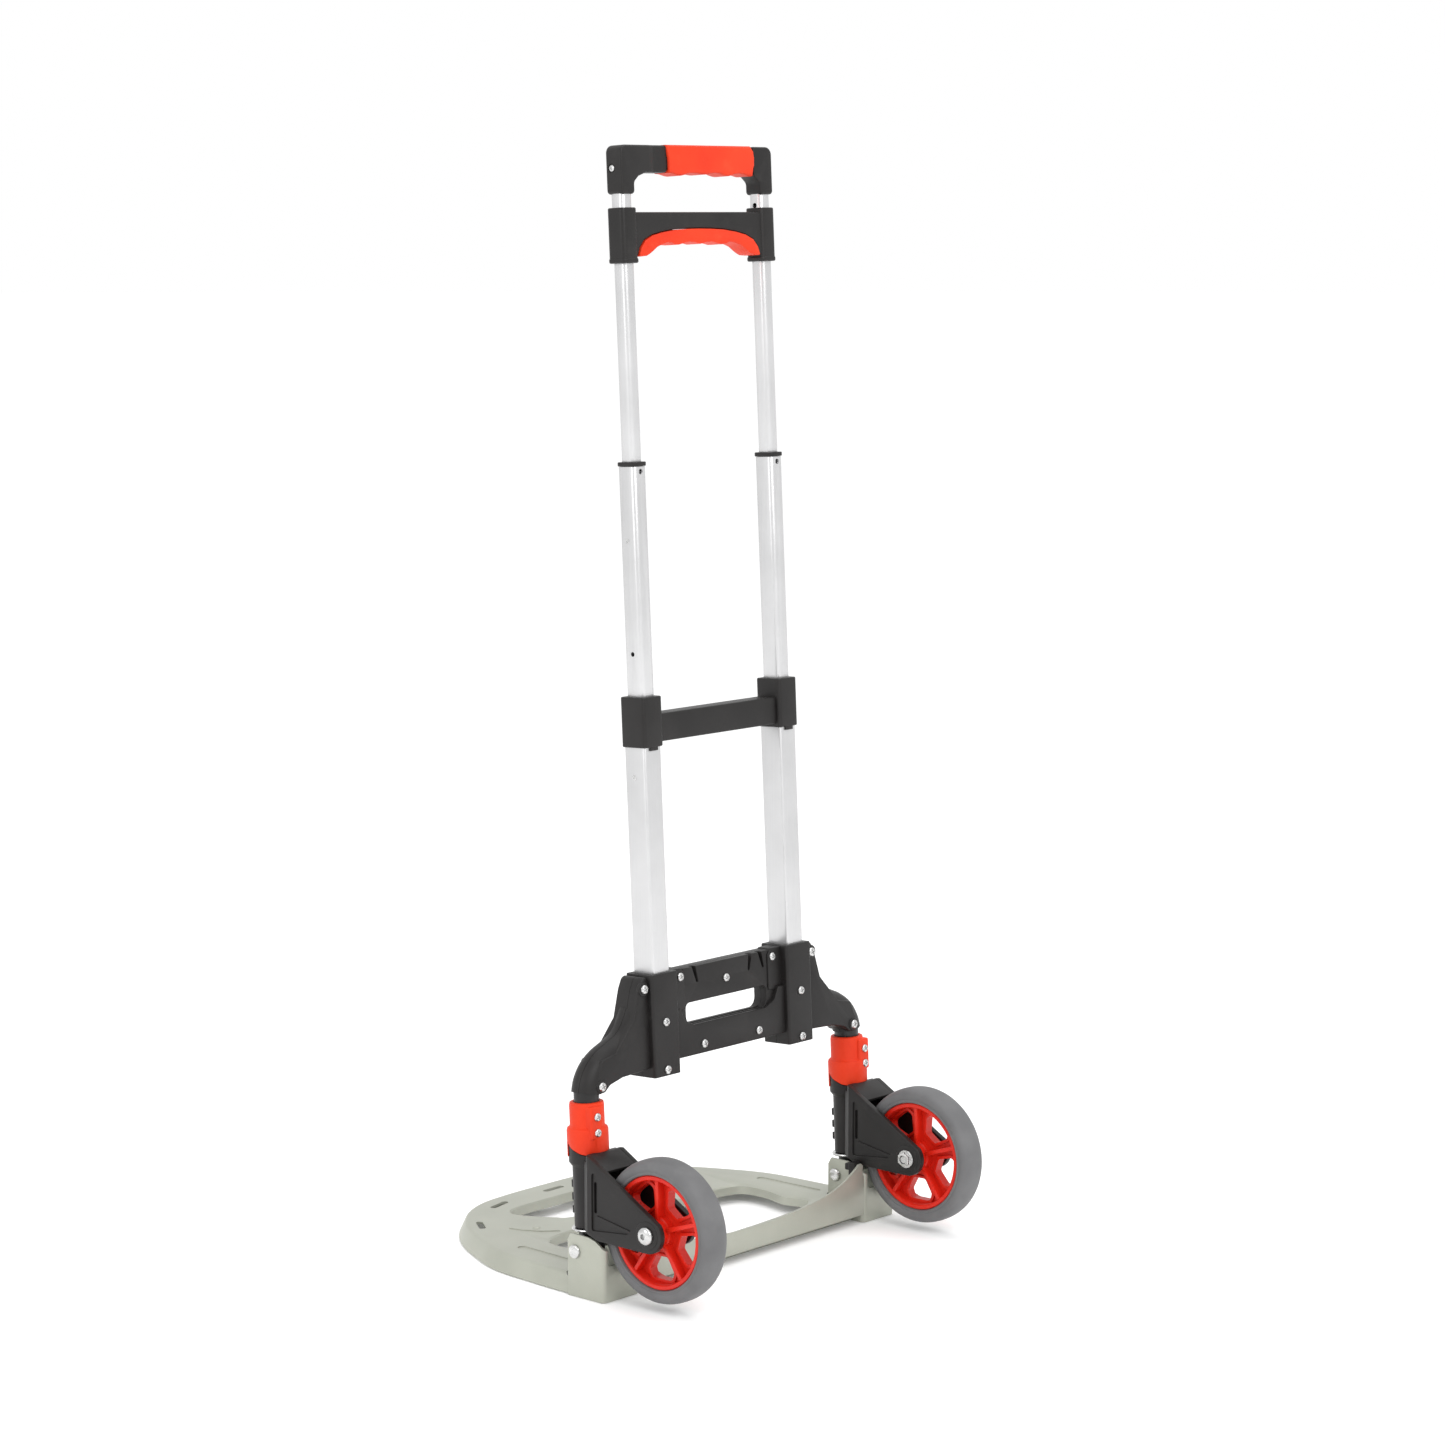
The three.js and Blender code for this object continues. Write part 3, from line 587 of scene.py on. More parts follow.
count = 60
lobeLine = []
for i in range(count + 1):
    x = gripHigh - 0.5 - (gripHigh - gripLow - 2.5) * i / count
    drop = max(math.exp(-((x - lobe) / 8.5) ** 2) for lobe in handleSet["lobes"])
    lobeLine.append((x, under - 0.3 - handleSet["lobeDrop"] * drop * (0.5 if -30 < x < 5 else 1)))
top = high.z + 0.4
gripOutline = [(gripLow + 0.5, under + 4), (gripLow - 0.8, 972), (gripLow - 1, 979), (gripLow, 985),
               (gripLow + 4, top), (gripHigh + 1.6, top), (gripHigh + 0.8, 984), (gripHigh - 0.6, 978),
               (gripHigh - 0.8, 970)]
grip = slab(gripOutline + lobeLine, -handleSet["gripDepth"], handleSet["gripDepth"])
startEdit(grip, "edges", lambda a, b: abs(a.y - b.y) < 0.01 and abs(a.y) > 5)
bpy.ops.mesh.bevel(offset=2.6, segments=5, affect="EDGES")
endEdit()
carve(grip, block((gripLow - 6, -7.3, under + 2.2), (gripHigh + 6, 7.3, high.z - 2.7)))
finish(grip, "handleGrip", "upper_stage", "orange_plastic", "handle_grip")
print("handle done")

# release bar with its finger pad

releaseSet = {"barDepth": 8.2, "soft": 1.6, "collarCorner": 4.6,
              "arch": [(79.5, 894), (77, 900.5), (71, 907), (61, 911.2), (48, 913.8), (32, 915.8),
                       (15, 916.6), (0, 916.8)],
              "padEdge": [(78.4, 892.4), (70, 893), (66, 894.6), (61, 897.4), (56, 900.6), (50, 902.6),
                          (44, 904.2), (38, 904.4), (33, 902.7), (28, 902.4), (22, 903.6), (15, 904.8),
                          (8, 904.6), (0, 902.9)]}
low, high = ownBox("release_bar")
innerLow, innerHigh = ownBox("inner_rail_left")
arch = releaseSet["arch"] + [(-x, s) for x, s in reversed(releaseSet["arch"][:-1])]
barTop = high.z - 4
panel = slab([(-86, 890), (-86, barTop), (86, barTop), (86, 890)] + arch, -releaseSet["barDepth"],
             releaseSet["barDepth"])
roundEdges(panel, releaseSet["soft"], 4, 50)
collars = []
for side in (1, -1):
    x = sorted((side * 80.6, side * high.x))
    collar = roundUprights(block((x[0], low.y, low.z), (x[1], high.y, high.z)),
                           releaseSet["collarCorner"])
    roundEdges(collar, 1.3, 4, 60)
    x = sorted((side * 79.9, side * (high.x + 0.5)))
    lip = roundEdges(roundUprights(block((x[0], low.y - 0.4, low.z), (x[1], high.y + 0.4, low.z + 4.4)),
                                   4.8), 1.4, 4, 60)
    collars += [fuse(collar, lip)]
releaseBar = fuse(panel, *collars)
for side in (1, -1):
    x = sorted((side * innerLow.x, side * innerHigh.x))
    carve(releaseBar, roundUprights(block((x[0] - 0.3, innerLow.y - 0.3, low.z - 5),
                                          (x[1] + 0.3, innerHigh.y + 0.3, high.z + 5)), 4.4))
finish(releaseBar, "releaseBar", "release", "black_plastic", "release_bar")

padTop = [(x * 0.992, s - 0.35) for x, s in arch]
padEdge = releaseSet["padEdge"] + [(-x, s) for x, s in reversed(releaseSet["padEdge"][:-1])]
pad = slab(padTop + padEdge[::-1], -9.2, 9.2)
roundEdges(pad, 0.9, 3, 55)
finish(pad, "releasePad", "release", "orange_plastic", "release_pad")
print("release bar done")

# bracket that joins the outer rails

low, high = ownBox("rail_bracket")
midLow, midHigh = ownBox("middle_rail_left")
bracketSet = {"corner": 3.6, "soft": 1.1, "barTop": 492, "barFoot": 467, "barDepth": 9.6, "foot": 463.8,
              "shell": 12.7}
bar = roundEdges(block((-80, -bracketSet["barDepth"], bracketSet["barFoot"]),
                       (80, bracketSet["barDepth"], bracketSet["barTop"])), 1.6, 4)
carve(bar, roundEdges(block((-74, -20, bracketSet["barFoot"] + 2.6), (74, 7, bracketSet["barTop"] - 2.6)),
                      1))
shells = []
for side in (1, -1):
    centre = side * (railLow.x + railHigh.x) / 2
    shell = roundUprights(block((centre - bracketSet["shell"], low.y, bracketSet["foot"]),
                                (centre + bracketSet["shell"], -low.y, high.z)), bracketSet["corner"])
    roundEdges(shell, bracketSet["soft"], 4, 60)
    fuse(shell, roundEdges(block((centre - 5, -low.y - 1.9, low.z),
                                 (centre + 5, -low.y - 0.2, bracketSet["foot"] + 3)), 0.4))
    shells += [shell]
bracket = fuse(bar, *shells)
for side in (1, -1):
    centre = side * (railLow.x + railHigh.x) / 2
    reach = (railHigh.x - railLow.x) / 2 + 0.3
    carve(bracket, roundUprights(block((centre - reach, railLow.y - origin.y - 0.3, low.z - 5),
                                       (centre + reach, railHigh.y - origin.y + 0.3, high.z - 1.1)), 2.6))
    reach = (midHigh.x - midLow.x) / 2 + 0.3
    carve(bracket, roundUprights(block((centre - reach, midLow.y - 0.3, high.z - 3),
                                       (centre + reach, midHigh.y + 0.3, high.z + 3)), 4.2))
finish(bracket, "railBracket", "frame", "black_plastic", "rail_bracket")
print("bracket done")

# base housing in two moulded halves

baseSet = {"columnX": 90.2, "halfX": 17, "halfV": 16, "corner": 2.6, "foot": 170.3, "top": 262.5,
           "panel": (181.5, 260.5), "panelV": (-9, 6.5), "lowerTop": 209, "lowerV": 11.2,
           "window": (54, 228.5), "tubeRadius": 13.3, "webV": 10.6,
           "notches": [(59.5, 55.5), (42.5, 37.5), (-34.5, -31.5), (-46.5, -51.5)]}
legLine = [(100, 263), (104, 252), (109, 238), (115, 225), (123, 212), (133, 203), (146, 197), (158, 192),
           (167, 185.5), (173, 177), (175.6, 168), (175.8, 158)]
windowX, windowTop = baseSet["window"]
panel = slab([(-80, baseSet["panel"][0]), (80, baseSet["panel"][0]), (80, baseSet["panel"][1]),
              (-80, baseSet["panel"][1])], *baseSet["panelV"])
carve(panel, slab(filleted([(-windowX, baseSet["lowerTop"] - 1, 9), (windowX, baseSet["lowerTop"] - 1, 9),
                            (windowX, windowTop, 5), (-windowX, windowTop, 5)], 6), -30, 30))
for topX, lowX in baseSet["notches"]:
    carve(panel, slab([(lowX - 1.1, 245.5), (lowX + 1.1, 245.5), (topX + 2.4, 262), (topX - 2.4, 262)],
                      1.5, 20))
roundEdges(panel, 0.9, 3, 40)
ledge = slab(filleted([(-78, 181.5), (78, 181.5), (78, 226, 4), (66, 226), (60, 214, 7), (48, 209, 4),
                       (-48, 209, 4), (-60, 214, 7), (-66, 226), (-78, 226, 4)], 5), -6,
             baseSet["lowerV"])
carve(ledge, block((-52, 5.2, 206.6), (52, 7.4, 212)), block((-52, 0, 207.6), (52, 2.2, 212)))
roundEdges(ledge, 1.1, 3, 40)
cheeks, columns, webs = [], [], []
for side in (1, -1):
    column = roundUprights(block(
        (side * baseSet["columnX"] - baseSet["halfX"], -baseSet["halfV"], baseSet["foot"]),
        (side * baseSet["columnX"] + baseSet["halfX"], baseSet["halfV"], baseSet["top"])), baseSet["corner"])
    roundEdges(column, 0.9, 3, 60)
    cheek = slab(filleted([(side * 56, 223.6, 2), (side * 80, 223.6), (side * 80, baseSet["top"] - 0.7),
                           (side * 60, baseSet["top"] - 0.7, 3), (side * 56, 256, 3)]), -7.7, 8)
    web = slab(filleted([(side * 100, 258), (side * 113, 262.3, 6), (side * 119, 250, 8),
                         (side * 126, 226), (side * 150, 200), (side * 168, 196), (side * 177, 176),
                         (side * 176, 167, 3), (side * 165, 167.5, 5), (side * 158, 173, 6),
                         (side * 142, 177, 8), (side * 100, 179)], 4), -15.5, baseSet["webV"])
    roundEdges(web, 1.8, 4, 40)
    tube = swept([(side * x, -3, s) for x, s in smoothed(legLine, 3)[8:-5]], baseSet["tubeRadius"], 7)
    boss = roundEdges(rod(6.6, (side * 112.6, 8, 251), (side * 112.6, baseSet["webV"] + 1, 251)), 0.8)
    lowBoss = roundEdges(rod(6, (side * 170, 4, 173.8), (side * 170, baseSet["webV"] + 0.8, 173.8)), 0.8)
    cheeks += [roundEdges(cheek, 0.8, 3, 40)]
    columns += [column]
    webs += [web, tube, boss, lowBoss]
parts = [panel, ledge, *cheeks, *columns, *webs]
hollows = []
for side in (1, -1):
    reach = (railHigh.x - railLow.x) / 2 + 0.35
    hollows.append(roundUprights(block(
        (side * baseSet["columnX"] - reach, railLow.y - origin.y - 0.35, railFoot - 0.3),
        (side * baseSet["columnX"] + reach, railHigh.y - origin.y + 0.35, 275)), 2.7))
    hollows.append(swept([(side * x, -3, s) for x, s in (
        (134, 202.5), (146, 196.5), (158, 191.5), (167, 185), (173, 176.5), (175.6, 168), (175.8, 150))],
        11.9, 7))
for name, node, cut in (("baseCoverRear", "base_cover_rear", (-60, 0.15)),
                        ("baseCoverFront", "base_cover_front", (-0.15, 60))):
    shells = []
    for part in parts:
        shell = copied(part, Matrix.Identity(4))
        carve(shell, *[copied(hollow, Matrix.Identity(4)) for hollow in hollows],
              block((-300, cut[0], 100), (300, cut[1], 300)))
        if shell.data.polygons:
            shells.append(shell)
        else:
            bpy.data.objects.remove(shell)
    only(*shells)
    bpy.ops.object.join()
    finish(bpy.context.object, name, "frame", "black_plastic", node)
for piece in parts + hollows:
    bpy.data.objects.remove(piece)
print("base housing done")

# screws: one pan head with a cross recess, copied to every place

screwSet = {"head": 3.9, "rise": 2.2, "slot": 0.9, "slotLength": 4.6, "slotDepth": 1.3, "shank": 1.5}
head, rise = screwSet["head"], screwSet["rise"]
panHead = turned([(0, -1.8), (screwSet["shank"], -1.8), (screwSet["shank"], 0), (head, 0),
                  (head, rise * 0.3), (head * 0.93, rise * 0.6), (head * 0.78, rise * 0.83),
                  (head * 0.5, rise * 0.96), (0, rise)], (0, 0, 0), "Y", 36)
for turn in (0, 90):
    arm = block((-screwSet["slotLength"] / 2, rise - screwSet["slotDepth"], -screwSet["slot"] / 2),
                (screwSet["slotLength"] / 2, rise + 1, screwSet["slot"] / 2))
    arm.data.transform(Matrix.Rotation(math.radians(turn + 20), 4, "Y"))
    carve(panHead, arm)
roundEdges(panHead, 0.12, 2, 50)


def screwAt(name, body, x, v, s, node=None, size=1.0, facing=0, leaning=True):
    change = (Matrix.Translation((x, v, s)) @ Matrix.Rotation(math.radians(facing), 4, "Z")
              @ Matrix.Scale(size, 4))
    finish(copied(panHead, change), name, body, "zinc_steel", *([node] if node else []), leaning=leaning)


for node in [row["node"] for row in frame["record"]["subparts"] if row["node"].startswith("screw_")]:
    low, high = ownBox(node)
    words = node.split("_")
    screwAt(words[0] + "".join(word.capitalize() for word in words[1:]), "frame", (low.x + high.x) / 2,
            high.y - 1.8, (low.z + high.z) / 2, node)
for side, word in ((1, "Left"), (-1, "Right")):
    screwAt("screwCheek" + word, "frame", side * 62, 8, 254)
    screwAt("screwShoulder" + word, "frame", side * 112.6, baseSet["webV"] + 1, 251, size=1.08)
    screwAt("screwElbow" + word, "frame", side * 170, baseSet["webV"] + 0.8, 173.8, size=1.05)
    low, high = ownBox("handle_screw_" + word.lower())
    screwAt("handleScrew" + word, "upper_stage", side * (outside - 0.6), (low.y + high.y) / 2,
            (low.z + high.z) / 2, "handle_screw_" + word.lower(), 0.75, -90 * side)
print("screws done")

# legs, cam collars and washers

legSet = {"x": 175.8, "v": -3, "radius": 11.4, "wall": 1.8, "foot": 15}
legPath = [(136, 201.2), (146, 196.5), (158, 191.5), (167, 185), (173, 176.5), (175.6, 168), (175.8, 150),
           (175.8, 100)]
leg = swept([(x, legSet["v"], s) for x, s in legPath] + [(legSet["x"], legSet["v"], legSet["foot"])],
            legSet["radius"], 8)
carve(leg, rod(legSet["radius"] - legSet["wall"], (legSet["x"], legSet["v"], 0),
               (legSet["x"], legSet["v"], 40)))
finishPair(roundEdges(leg, 0.5, 2, 60), "leg", "frame", "black_steel", ["leg"])

collarSet = {"bore": 11.7, "upper": 15.4, "lower": 18.4, "screws": (("Upper", 149.2), ("Lower", 135.2))}
x, v = legSet["x"], legSet["v"]
collar = turned([(collarSet["bore"], 104), (collarSet["lower"], 104), (collarSet["lower"], 136),
                 (collarSet["lower"] - 0.6, 138), (collarSet["upper"] + 0.4, 139.5),
                 (collarSet["upper"], 141), (collarSet["upper"], 158), (collarSet["upper"] - 0.4, 160.4),
                 (collarSet["upper"] - 1.4, 161), (collarSet["bore"], 161)], (x, v, 0), "Z", 72)
boss = roundEdges(block((x - 2.5, v + 6, 129.5), (x + 11.8, v + 17.4, 158.5)), 1.8, 4)
fuse(collar, boss)
carve(collar, rod(collarSet["bore"], (x, v, 90), (x, v, 170), 64))
cam = slab([(-70, 60), (70, 60), (70, 112), (14, 115), (4, 117.2), (-6, 121.5), (-13, 126.5), (-13.2, 113),
             (-70, 113)], x - 60, x + 60, "X")
carve(collar, cam)
roundEdges(collar, 0.4, 2, 50)
finishPair(collar, "camCollar", "frame", "orange_plastic", ["cam_collar"])
for side, word in ((1, "Left"), (-1, "Right")):
    for level, s in collarSet["screws"]:
        screwAt("screwCollar" + level + word, "frame", side * (x + 5), v + 17.4, s, size=0.95)
bpy.data.objects.remove(panHead)

low, high = ownBox("thrust_washer_left")
middle = (low + high) / 2
washer = turned([(11.7, low.z), (17, low.z), (17.4, (low.z + high.z) / 2), (17, high.z), (11.7, high.z)],
                (middle.x, middle.y, 0), "Z", 64)
finishPair(roundEdges(washer, 0.15, 1, 60), "thrustWasher", "frame", "zinc_steel", ["thrust_washer"])
print("legs and collars done")

# wheel forks, modelled on the left and mirrored

wheelLow, wheelHigh = flatBox("tyre_left")
axleX, axleY, axleZ = (wheelLow + wheelHigh) / 2
forkSet = {"inner": 17.2, "outer": 23.2, "tip": 16.2, "front": 62, "foot": 59.9, "top": 128,
           "sleeve": 14.6, "neck": 17.4, "recess": 1.3, "slope": 0.558, "bridge": 85}
around = [Vector((axleY + forkSet["tip"] * math.sin(a), axleZ + forkSet["tip"] * math.cos(a)))
          for a in [0.85 + k * (math.pi - 0.85) / 16 for k in range(17)]]
cheekShape = [Vector((forkSet["front"], forkSet["top"])), Vector((forkSet["front"] + 4, forkSet["top"])),
              *around, Vector((forkSet["front"] + 16, axleZ - forkSet["tip"])),
              Vector((forkSet["front"], forkSet["foot"]))]
x, v = legSet["x"], legSet["v"]
fork = turned([(11.7, 49.5), (forkSet["sleeve"] - 0.8, 49.5), (forkSet["sleeve"], 50.3),
               (forkSet["sleeve"], 104), (forkSet["neck"] - 0.6, 107), (forkSet["neck"], 107.8),
               (forkSet["neck"], 135), (11.7, 135)], (x, v, 0), "Z", 72)
carve(fork, slab([(-70, 111.5), (-14.4, 111.5), (-14.2, 125.4), (-7, 120.8), (3, 116.3), (13, 113.9),
                  (70, 110.8), (70, 200), (-70, 200)], x - 60, x + 60, "X"))
for s in (60, 71.5, 83):
    fuse(fork, roundEdges(block((x - 6, v - 17, s), (x + 6, v - 10, s + 7)), 0.9, 3))
carve(fork, rod(11.7, (x, v, 40), (x, v, 150), 72))
fork.data.transform(leanOver)
cheeks = []
for side in (1, -1):
    near, far = axleX + side * forkSet["inner"], axleX + side * forkSet["outer"]
    cheek = roundEdges(slab(cheekShape, min(near, far), max(near, far), "X"), 0.9, 3, 50)
    face = far - side * forkSet["recess"]
    out = far + side * 3
    carve(cheek, slab(filleted([(71, 116, 2), (117, 89, 4), (118, 68, 6), (71, 63, 2)], 4), min(face, out),
                       max(face, out), "X"))
    fuse(cheek, roundEdges(rod(12.5, (face - side * 2, axleY, axleZ), (far + side * 0.5, axleY, axleZ),
                               56), 0.5, 3, 50))
    ridge = face + side * 0.9
    fuse(cheek, slab(filleted([(76, 74, 0.8), (122, 67.5, 0.8), (122, 70, 0.8), (76, 77.5, 0.8)], 3),
                     min(face - side, ridge), max(face - side, ridge), "X"))
    deep = face - side * 2.2
    carve(cheek, slab(filleted([(73, 79, 1.6), (76.4, 79, 1.6), (76.4, 107, 1.6), (73, 107, 1.6)], 4),
                      min(deep, out), max(deep, out), "X"))
    cheeks.append(cheek)
back = roundEdges(block((axleX - forkSet["outer"], forkSet["front"] - 5, forkSet["foot"]),
                        (axleX + forkSet["outer"], forkSet["front"] + 5, forkSet["top"] - 6)), 1.2, 3)
edge = forkSet["outer"] + 1
corner = forkSet["front"] - 6
bands = [slab([(axleX + side * edge, corner), (axleX + side * edge, corner + 11.4),
               (axleX + side * (edge - 7.4), corner)], 40, 140, "Z") for side in (1, -1)]
bridgeEnd = forkSet["top"] - forkSet["slope"] * (forkSet["bridge"] - forkSet["front"] - 4)
bridge = slab([(60, 128), (66, 128), (forkSet["bridge"], bridgeEnd),
               (forkSet["bridge"] - 1.6, bridgeEnd - 3), (65, 124.9), (60, 124.9)], axleX - 18, axleX + 18,
               "X")
fuse(back, *cheeks, roundEdges(bridge, 0.6, 2))
carve(back, *bands)
legRod = rod(11.7, (x, v, 20), (x, v, 200), 72)
legRod.data.transform(leanOver)
carve(back, legRod, rod(4.3, (axleX - 40, axleY, axleZ), (axleX + 40, axleY, axleZ), 40))
fuse(fork, back)
tidy(fork)
finishPair(fork, "wheelFork", "frame", "black_plastic", ["wheel_fork"], leaning=False)
print("forks done")

# wheels

wheelSet = {"radius": 63.5, "inner": 50.3, "half": 13.75, "crown": 55, "rim": 50, "rimHalf": 11.8,
            "web": 2.4, "lip": 4.3, "spokes": 5, "boss": 13.5}
crown = [math.radians(-88 + k * 8) for k in range(23)]
tread = [(wheelSet["crown"] + (wheelSet["radius"] - wheelSet["crown"]) * abs(math.cos(a)) ** 0.62,
          -math.copysign(abs(math.sin(a)) ** 0.8, a) * wheelSet["half"]) for a in crown]
sideWall = [(54.2, 13.5), (53.4, 12.9), (52.6, 12.9), (51.8, 13.4), (51, 13.2), (wheelSet["inner"], 12.2)]
tyre = turned(tread + [(r, -w) for r, w in sideWall] + sideWall[::-1], (axleX, axleY, axleZ), "X", 120)
wheelBodies = {"left": "wheel_left", "right": "wheel_right"}
finishPair(tyre, "tyre", None, "grey_tyre", ["tyre"], leaning=False, bodies=wheelBodies, smooth=40)

rim, half = wheelSet["rim"], wheelSet["rimHalf"]
hub = turned([(rim - 4.4, -half + 1), (rim - 5, -5), (rim - 5.4, 0), (rim - 5, 5), (rim - 4.4, half - 1),
              (rim - 3.6, half), (rim - 0.8, half), (rim, half - 0.8), (rim, -half + 0.8),
              (rim - 0.8, -half), (rim - 3.6, -half)], (0, 0, 0), "X", 96)
web = turned([(12, -wheelSet["web"]), (12, wheelSet["web"]), (rim - 4.2, wheelSet["web"]),
              (rim - 4.2, -wheelSet["web"])], (0, 0, 0), "X", 96)
boss = turned([(9.3, -14), (9.8, -14.5), (10.8, -14.5), (11.6, -13.7), (11.8, -9), (13.5, -8.2),
               (wheelSet["boss"], -2), (wheelSet["boss"], 2), (13.5, 8.2), (11.8, 9), (11.6, 13.7),
               (10.8, 14.5), (9.8, 14.5), (9.3, 14)], (0, 0, 0), "X", 72)
fuse(hub, web, boss)
for number in range(wheelSet["spokes"]):
    turn = Matrix.Rotation(2 * math.pi * (number + 0.013) / wheelSet["spokes"], 4, "X")
    rib = roundEdges(slab([(-11.4, 11), (11.4, 11), (10.4, 28), (10.4, 46.6), (-10.4, 46.6), (-10.4, 28)],
                          -1.9, 1.9, "Y"), 0.7, 2, 50)
    rib.data.transform(turn)
    windowRing = roundEdges(slab(filleted([(-8.8, 19.4, 4), (8.8, 19.4, 4), (17.4, 35, 5), (13.4, 45, 5),
                                           (-13.4, 45, 5), (-17.4, 35, 5)], 5), -wheelSet["lip"],
                                 wheelSet["lip"], "X"), 0.6, 2, 50)
    window = slab(filleted([(-6.6, 21.8, 3.4), (6.6, 21.8, 3.4), (14.4, 35, 4), (11.4, 42, 4),
                            (-11.4, 42, 4), (-14.4, 35, 4)], 5), -30, 30, "X")
    between = turn @ Matrix.Rotation(math.pi / wheelSet["spokes"], 4, "X")
    windowRing.data.transform(between)
    window.data.transform(between)
    fuse(hub, rib, windowRing)
    carve(hub, window)
carve(hub, rod(9.3, (-40, 0, 0), (40, 0, 0), 72))
hub.data.transform(Matrix.Translation((axleX, axleY, axleZ)))
tidy(hub)
finishPair(hub, "wheelHub", None, "red_plastic", ["wheel_hub"], leaning=False, bodies=wheelBodies)
bearing = turned([(4.3, -16.8), (8.4, -16.8), (9, -16.2), (9, 16.2), (8.4, 16.8), (4.3, 16.8)],
                 (axleX, axleY, axleZ), "X", 56)
finishPair(bearing, "wheelBearing", None, "bearing_brass", ["wheel_bearing"], leaning=False,
           bodies=wheelBodies)

axleSet = {"radius": 4, "head": 8, "rise": 4.4, "end": 28.5}
seat = forkSet["outer"] + 0.8
bolt = turned([(0, -axleSet["end"]), (3, -axleSet["end"]), (axleSet["radius"], -axleSet["end"] + 1),
               (axleSet["radius"], seat), (axleSet["head"] - 0.3, seat), (axleSet["head"], seat + 0.4),
               (axleSet["head"], seat + 1.4), (7.4, seat + 2.8), (6, seat + 3.8),
               (3.4, seat + axleSet["rise"]), (0, seat + axleSet["rise"])], (axleX, axleY, axleZ), "X",
              56)
carve(bolt, rod(2.9, (axleX + seat + 1.6, axleY, axleZ), (axleX + seat + 9, axleY, axleZ), 6))
finishPair(roundEdges(bolt, 0.2, 2, 50), "axleBolt", "frame", "zinc_steel", ["axle_bolt"], leaning=False)
inside = axleX - seat
nut = roundEdges(rod(6.9, (inside - 5.2, axleY, axleZ), (inside - 1, axleY, axleZ), 6), 0.5, 3, 40)
fuse(nut, turned([(0, -1.4), (8.2, -1.4), (8.4, -0.9), (8.2, 0), (0, 0)], (inside, axleY, axleZ), "X",
                 48))
carve(nut, rod(4.05, (inside - 20, axleY, axleZ), (inside + 20, axleY, axleZ), 40))
finishPair(nut, "axleNut", "frame", "zinc_steel", ["axle_nut"], leaning=False)
print("wheels done")

# toe plate

plateSet = {"top": 17, "thick": 2.2, "flange": 8, "shrink": (0.962, 0.947, 1), "centre": (0, -60, 0),
            "rear": 84.8, "wall": 2.3}
ear = {"inner": 152.5, "outer": 198, "front": 41, "thick": 2.4, "top": 55.9, "behindLeg": 32}
edgeHalf = [(197, 71), (197, 30), (195.5, -4), (192, -50), (185, -77), (174, -102), (160, -130),
            (140, -158), (113, -182), (80, -196), (40, -200)]
frontHalf = [(50, -152), (76, -150), (87, -141), (85, -127), (71, -103), (58, -91)]
rearHalf = [(90, -58), (122, -54), (133, -44), (134, -20), (128, 5), (124, 40)]


def wholeRing(half, end, start=None):
    # the left half of a ring with its mirror image, and a point on the middle line at either join
    ring = [Vector(p) for p in half] + ([Vector(end)] if end else [])
    ring += [Vector((-a, b)) for a, b in reversed(half)] + ([Vector(start)] if start else [])
    return ring


def grown(ring, amount):
    # a ring pushed outwards along its normals
    middle = sum(ring, Vector((0, 0))) / len(ring)
    spots = []
    for k, spot in enumerate(ring):
        along = (ring[(k + 1) % len(ring)] - ring[k - 1]).normalized()
        out = Vector((along.y, -along.x))
        spots.append(spot + out * amount * (1 if out.dot(spot - middle) > 0 else -1))
    return spots


outer = smoothed(wholeRing([(197, 112), *edgeHalf], (0, -200.5)), 4)[4:-7]
plate = slab(outer, 0, plateSet["top"], "Z")
startEdit(plate, "polygons", lambda centre, normal: centre.z > 16)
bpy.ops.transform.resize(value=plateSet["shrink"], center_override=plateSet["centre"])
endEdit()
roundEdges(plate, 2.6, 4, 30)
under = slab([Vector((a * 0.9885, -60 + (b + 60) * 0.984)) for a, b in outer], -1,
             plateSet["top"] - plateSet["thick"], "Z")
startEdit(under, "polygons", lambda centre, normal: centre.z > 10)
bpy.ops.transform.resize(value=(0.967, 0.953, 1), center_override=plateSet["centre"])
endEdit()
carve(plate, under)
openings = [smoothed(wholeRing(frontHalf, (0, -84), (0, -152)), 4),
            smoothed(wholeRing(rearHalf, (0, 52), (0, -58)), 4)]
for ring in openings:
    fuse(plate, roundEdges(slab(grown(ring, 2.2), plateSet["flange"], plateSet["top"] - 1, "Z"), 0.5, 2,
                           50))
strip = block((-ear["inner"] - 1, 58, plateSet["top"] - plateSet["thick"]),
              (ear["inner"] + 1, plateSet["rear"] - 0.5, plateSet["top"]))
crest = [(145.4, 57.5), (138, 52), (128, 46.5), (118, 42), (107, 38.5), (92, 35.4), (76, 33), (60, 31.2),
         (44, 29.8), (24, 28.6), (0, 28.2)]
wallHalf = [(153.5, 8), (153.5, 45), (151.4, 45), (151.4, 55.5), (149.4, 57.5)] + crest
wallShape = [Vector(p) for p in wallHalf] + [Vector((-a, b)) for a, b in reversed(wallHalf[:-1])]
rearWall = roundEdges(slab(wallShape, plateSet["rear"] - plateSet["wall"], plateSet["rear"]), 0.5, 2, 50)
fuse(plate, strip, rearWall)
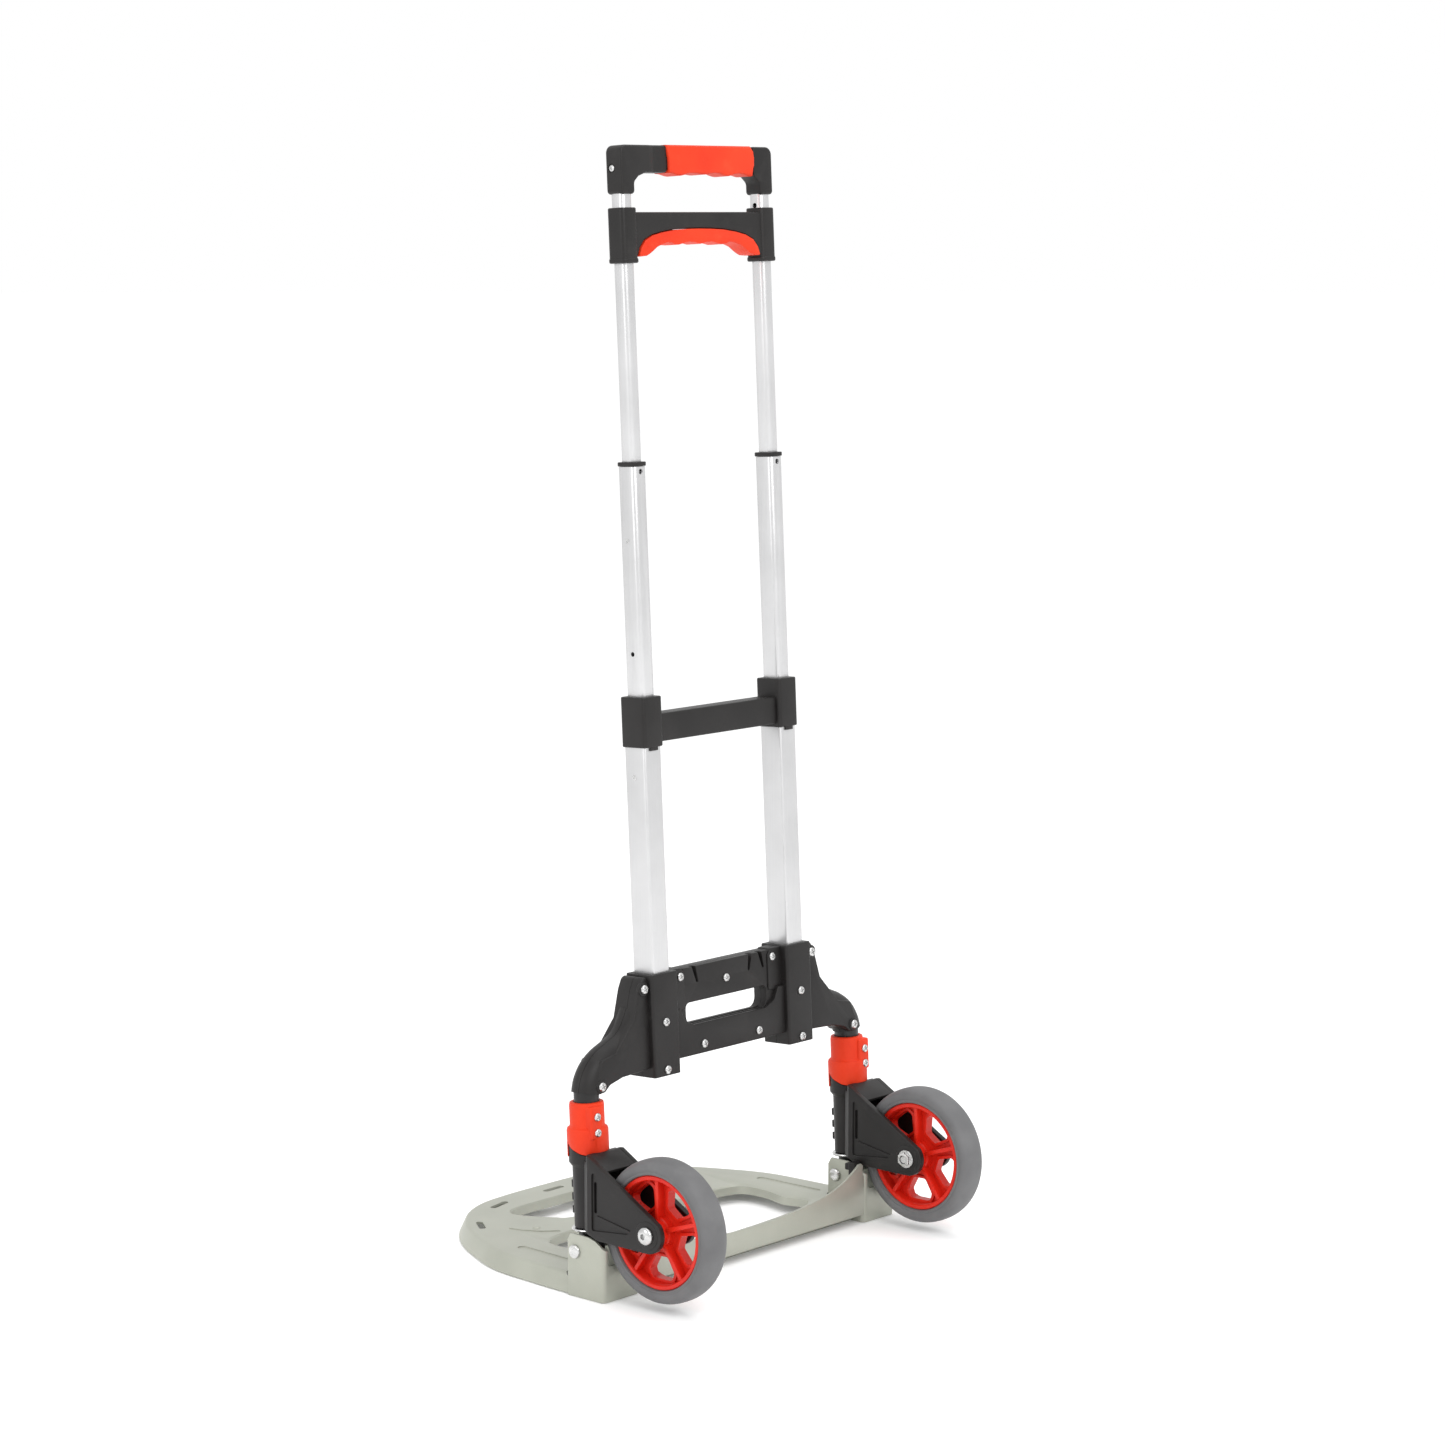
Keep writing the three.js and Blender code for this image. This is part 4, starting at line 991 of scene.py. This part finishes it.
for side in (1, -1):
    reach = sorted((side * ear["inner"], side * ear["outer"]))
    box = block((reach[0], ear["front"], 0), (reach[1], plateSet["rear"], ear["top"]))
    startEdit(box, "edges", lambda a, b: abs(a.z - b.z) > 20 and a.y > 80 and b.y > 80)
    bpy.ops.mesh.bevel(offset=5, segments=6, affect="EDGES")
    endEdit()
    hollow = block((reach[0] + ear["thick"], ear["front"] - 20, -5),
                   (reach[1] - ear["thick"], plateSet["rear"] - plateSet["wall"], 90))
    startEdit(hollow, "edges", lambda a, b: abs(a.z - b.z) > 20 and a.y > 80 and b.y > 80)
    bpy.ops.mesh.bevel(offset=2.7, segments=5, affect="EDGES")
    endEdit()
    trim = slab([(20, 70), (20, 0), (41, 0), (41, 50), (44.5, 55.9), (66, 55.9), (74, 54), (80, 50.5),
                 (84.8, 46), (110, 40), (110, 70)], reach[0] - 5, reach[1] + 5, "X")
    notch = slab(filleted([(reach[0] + 6, ear["behindLeg"], 4), (reach[1] - 6, ear["behindLeg"], 4),
                           (reach[1] - 6, 90), (reach[0] + 6, 90)], 5), 75, 95)
    carve(box, hollow, trim, notch)
    fuse(plate, roundEdges(box, 0.4, 2, 60))
    well = slab(filleted([(side * legSet["x"] - 15, 30, 4), (side * legSet["x"] + 15, 30, 4),
                          (side * legSet["x"] + 15, 66, 4), (side * legSet["x"] - 15, 66, 4)], 4), -1, 30,
                "Z")
    carve(plate, well)
for ring in openings:
    tool = slab(ring, -1, 30, "Z")
    flare = slab(grown(ring, 0.1), plateSet["top"] - 1.3, plateSet["top"] + 1, "Z")
    middle = sum(ring, Vector((0, 0))) / len(ring)
    startEdit(flare, "polygons", lambda centre, normal: centre.z > plateSet["top"])
    bpy.ops.transform.resize(value=(1.03, 1.06, 1), center_override=(middle.x, middle.y, 0))
    endEdit()
    carve(plate, flare, tool)


def oval(centreX, centreY, length, width, turn=0):
    ends = []
    for k in range(20):
        a = 2 * math.pi * k / 20
        ends.append(Vector((math.cos(a) * width / 2 + math.copysign(length / 2 - width / 2, math.cos(a)),
                            math.sin(a) * width / 2)))
    spin = Matrix.Rotation(math.radians(turn), 2)
    return [spin @ spot + Vector((centreX, centreY)) for spot in ends]


for spot in ((0, -173, 26, 6.5, 0), (75, -170, 26, 6.5, 12), (-75, -170, 26, 6.5, -12),
             (136, -132, 24, 6.5, 54), (-136, -132, 24, 6.5, -54)):
    carve(plate, slab(oval(*spot), 5, 30, "Z"))
for side in (1, -1):
    channel = slab(oval(side * 163, -18, 76, 9, 90 - side * 2), plateSet["top"] - 1, plateSet["top"] + 4,
                   "Z")
    carve(plate, roundEdges(channel, 0.4, 2, 50))
    line = [Vector((side * a, b)) for a, b in (
        (100, -66), (112, -78), (120, -92), (124, -106), (126.5, -105), (122.6, -91), (114, -76), (101, -64))]
    fuse(plate, roundEdges(slab(line, plateSet["top"] - 1, plateSet["top"] + 0.8, "Z"), 0.3, 2, 50))
    fuse(plate, turned([(0, 15), (4, 15), (4, 17), (3, 18), (1.4, 18.4), (0, 18.4)], (side * 108, -88, 0),
                       "Z", 28))
pivotY, pivotZ = [c / mm for c in next(j for j in frame["joints"] if j["name"] == "toe_fold")["pos_m"][1:]]
carve(plate, rod(3.1, (-230, pivotY, pivotZ), (230, pivotY, pivotZ), 40))
tidy(plate)
finish(plate, "toePlate", "toe", "painted_plate", "toe_plate", leaning=False)
pinSet = {"radius": 3, "head": 6.2}
start, end = ear["inner"] - 0.3, ear["outer"] + 0.3
pin = turned([(0, start - 2.4), (4.6, start - 2.4), (5.8, start - 1.7), (pinSet["head"], start - 0.7),
              (6, start), (pinSet["radius"], start), (pinSet["radius"], end), (6, end),
              (pinSet["head"], end + 0.7), (5.8, end + 1.7), (4.6, end + 2.3), (0, end + 2.5)],
             (0, pivotY, pivotZ), "X", 48)
finishPair(pin, "pivotPin", "toe", "zinc_steel", ["pivot_pin"], leaning=False)
stop = roundEdges(block((140.5, 75.5, 46), (151, 82.3, 59.5)), 1.6, 4)
fuse(stop, roundEdges(block((142, 70, 51), (149.5, 77, 57.5)), 1.2, 3))
finishPair(stop, "stopBlock", "toe", "black_plastic", leaning=False)
print("toe plate done")
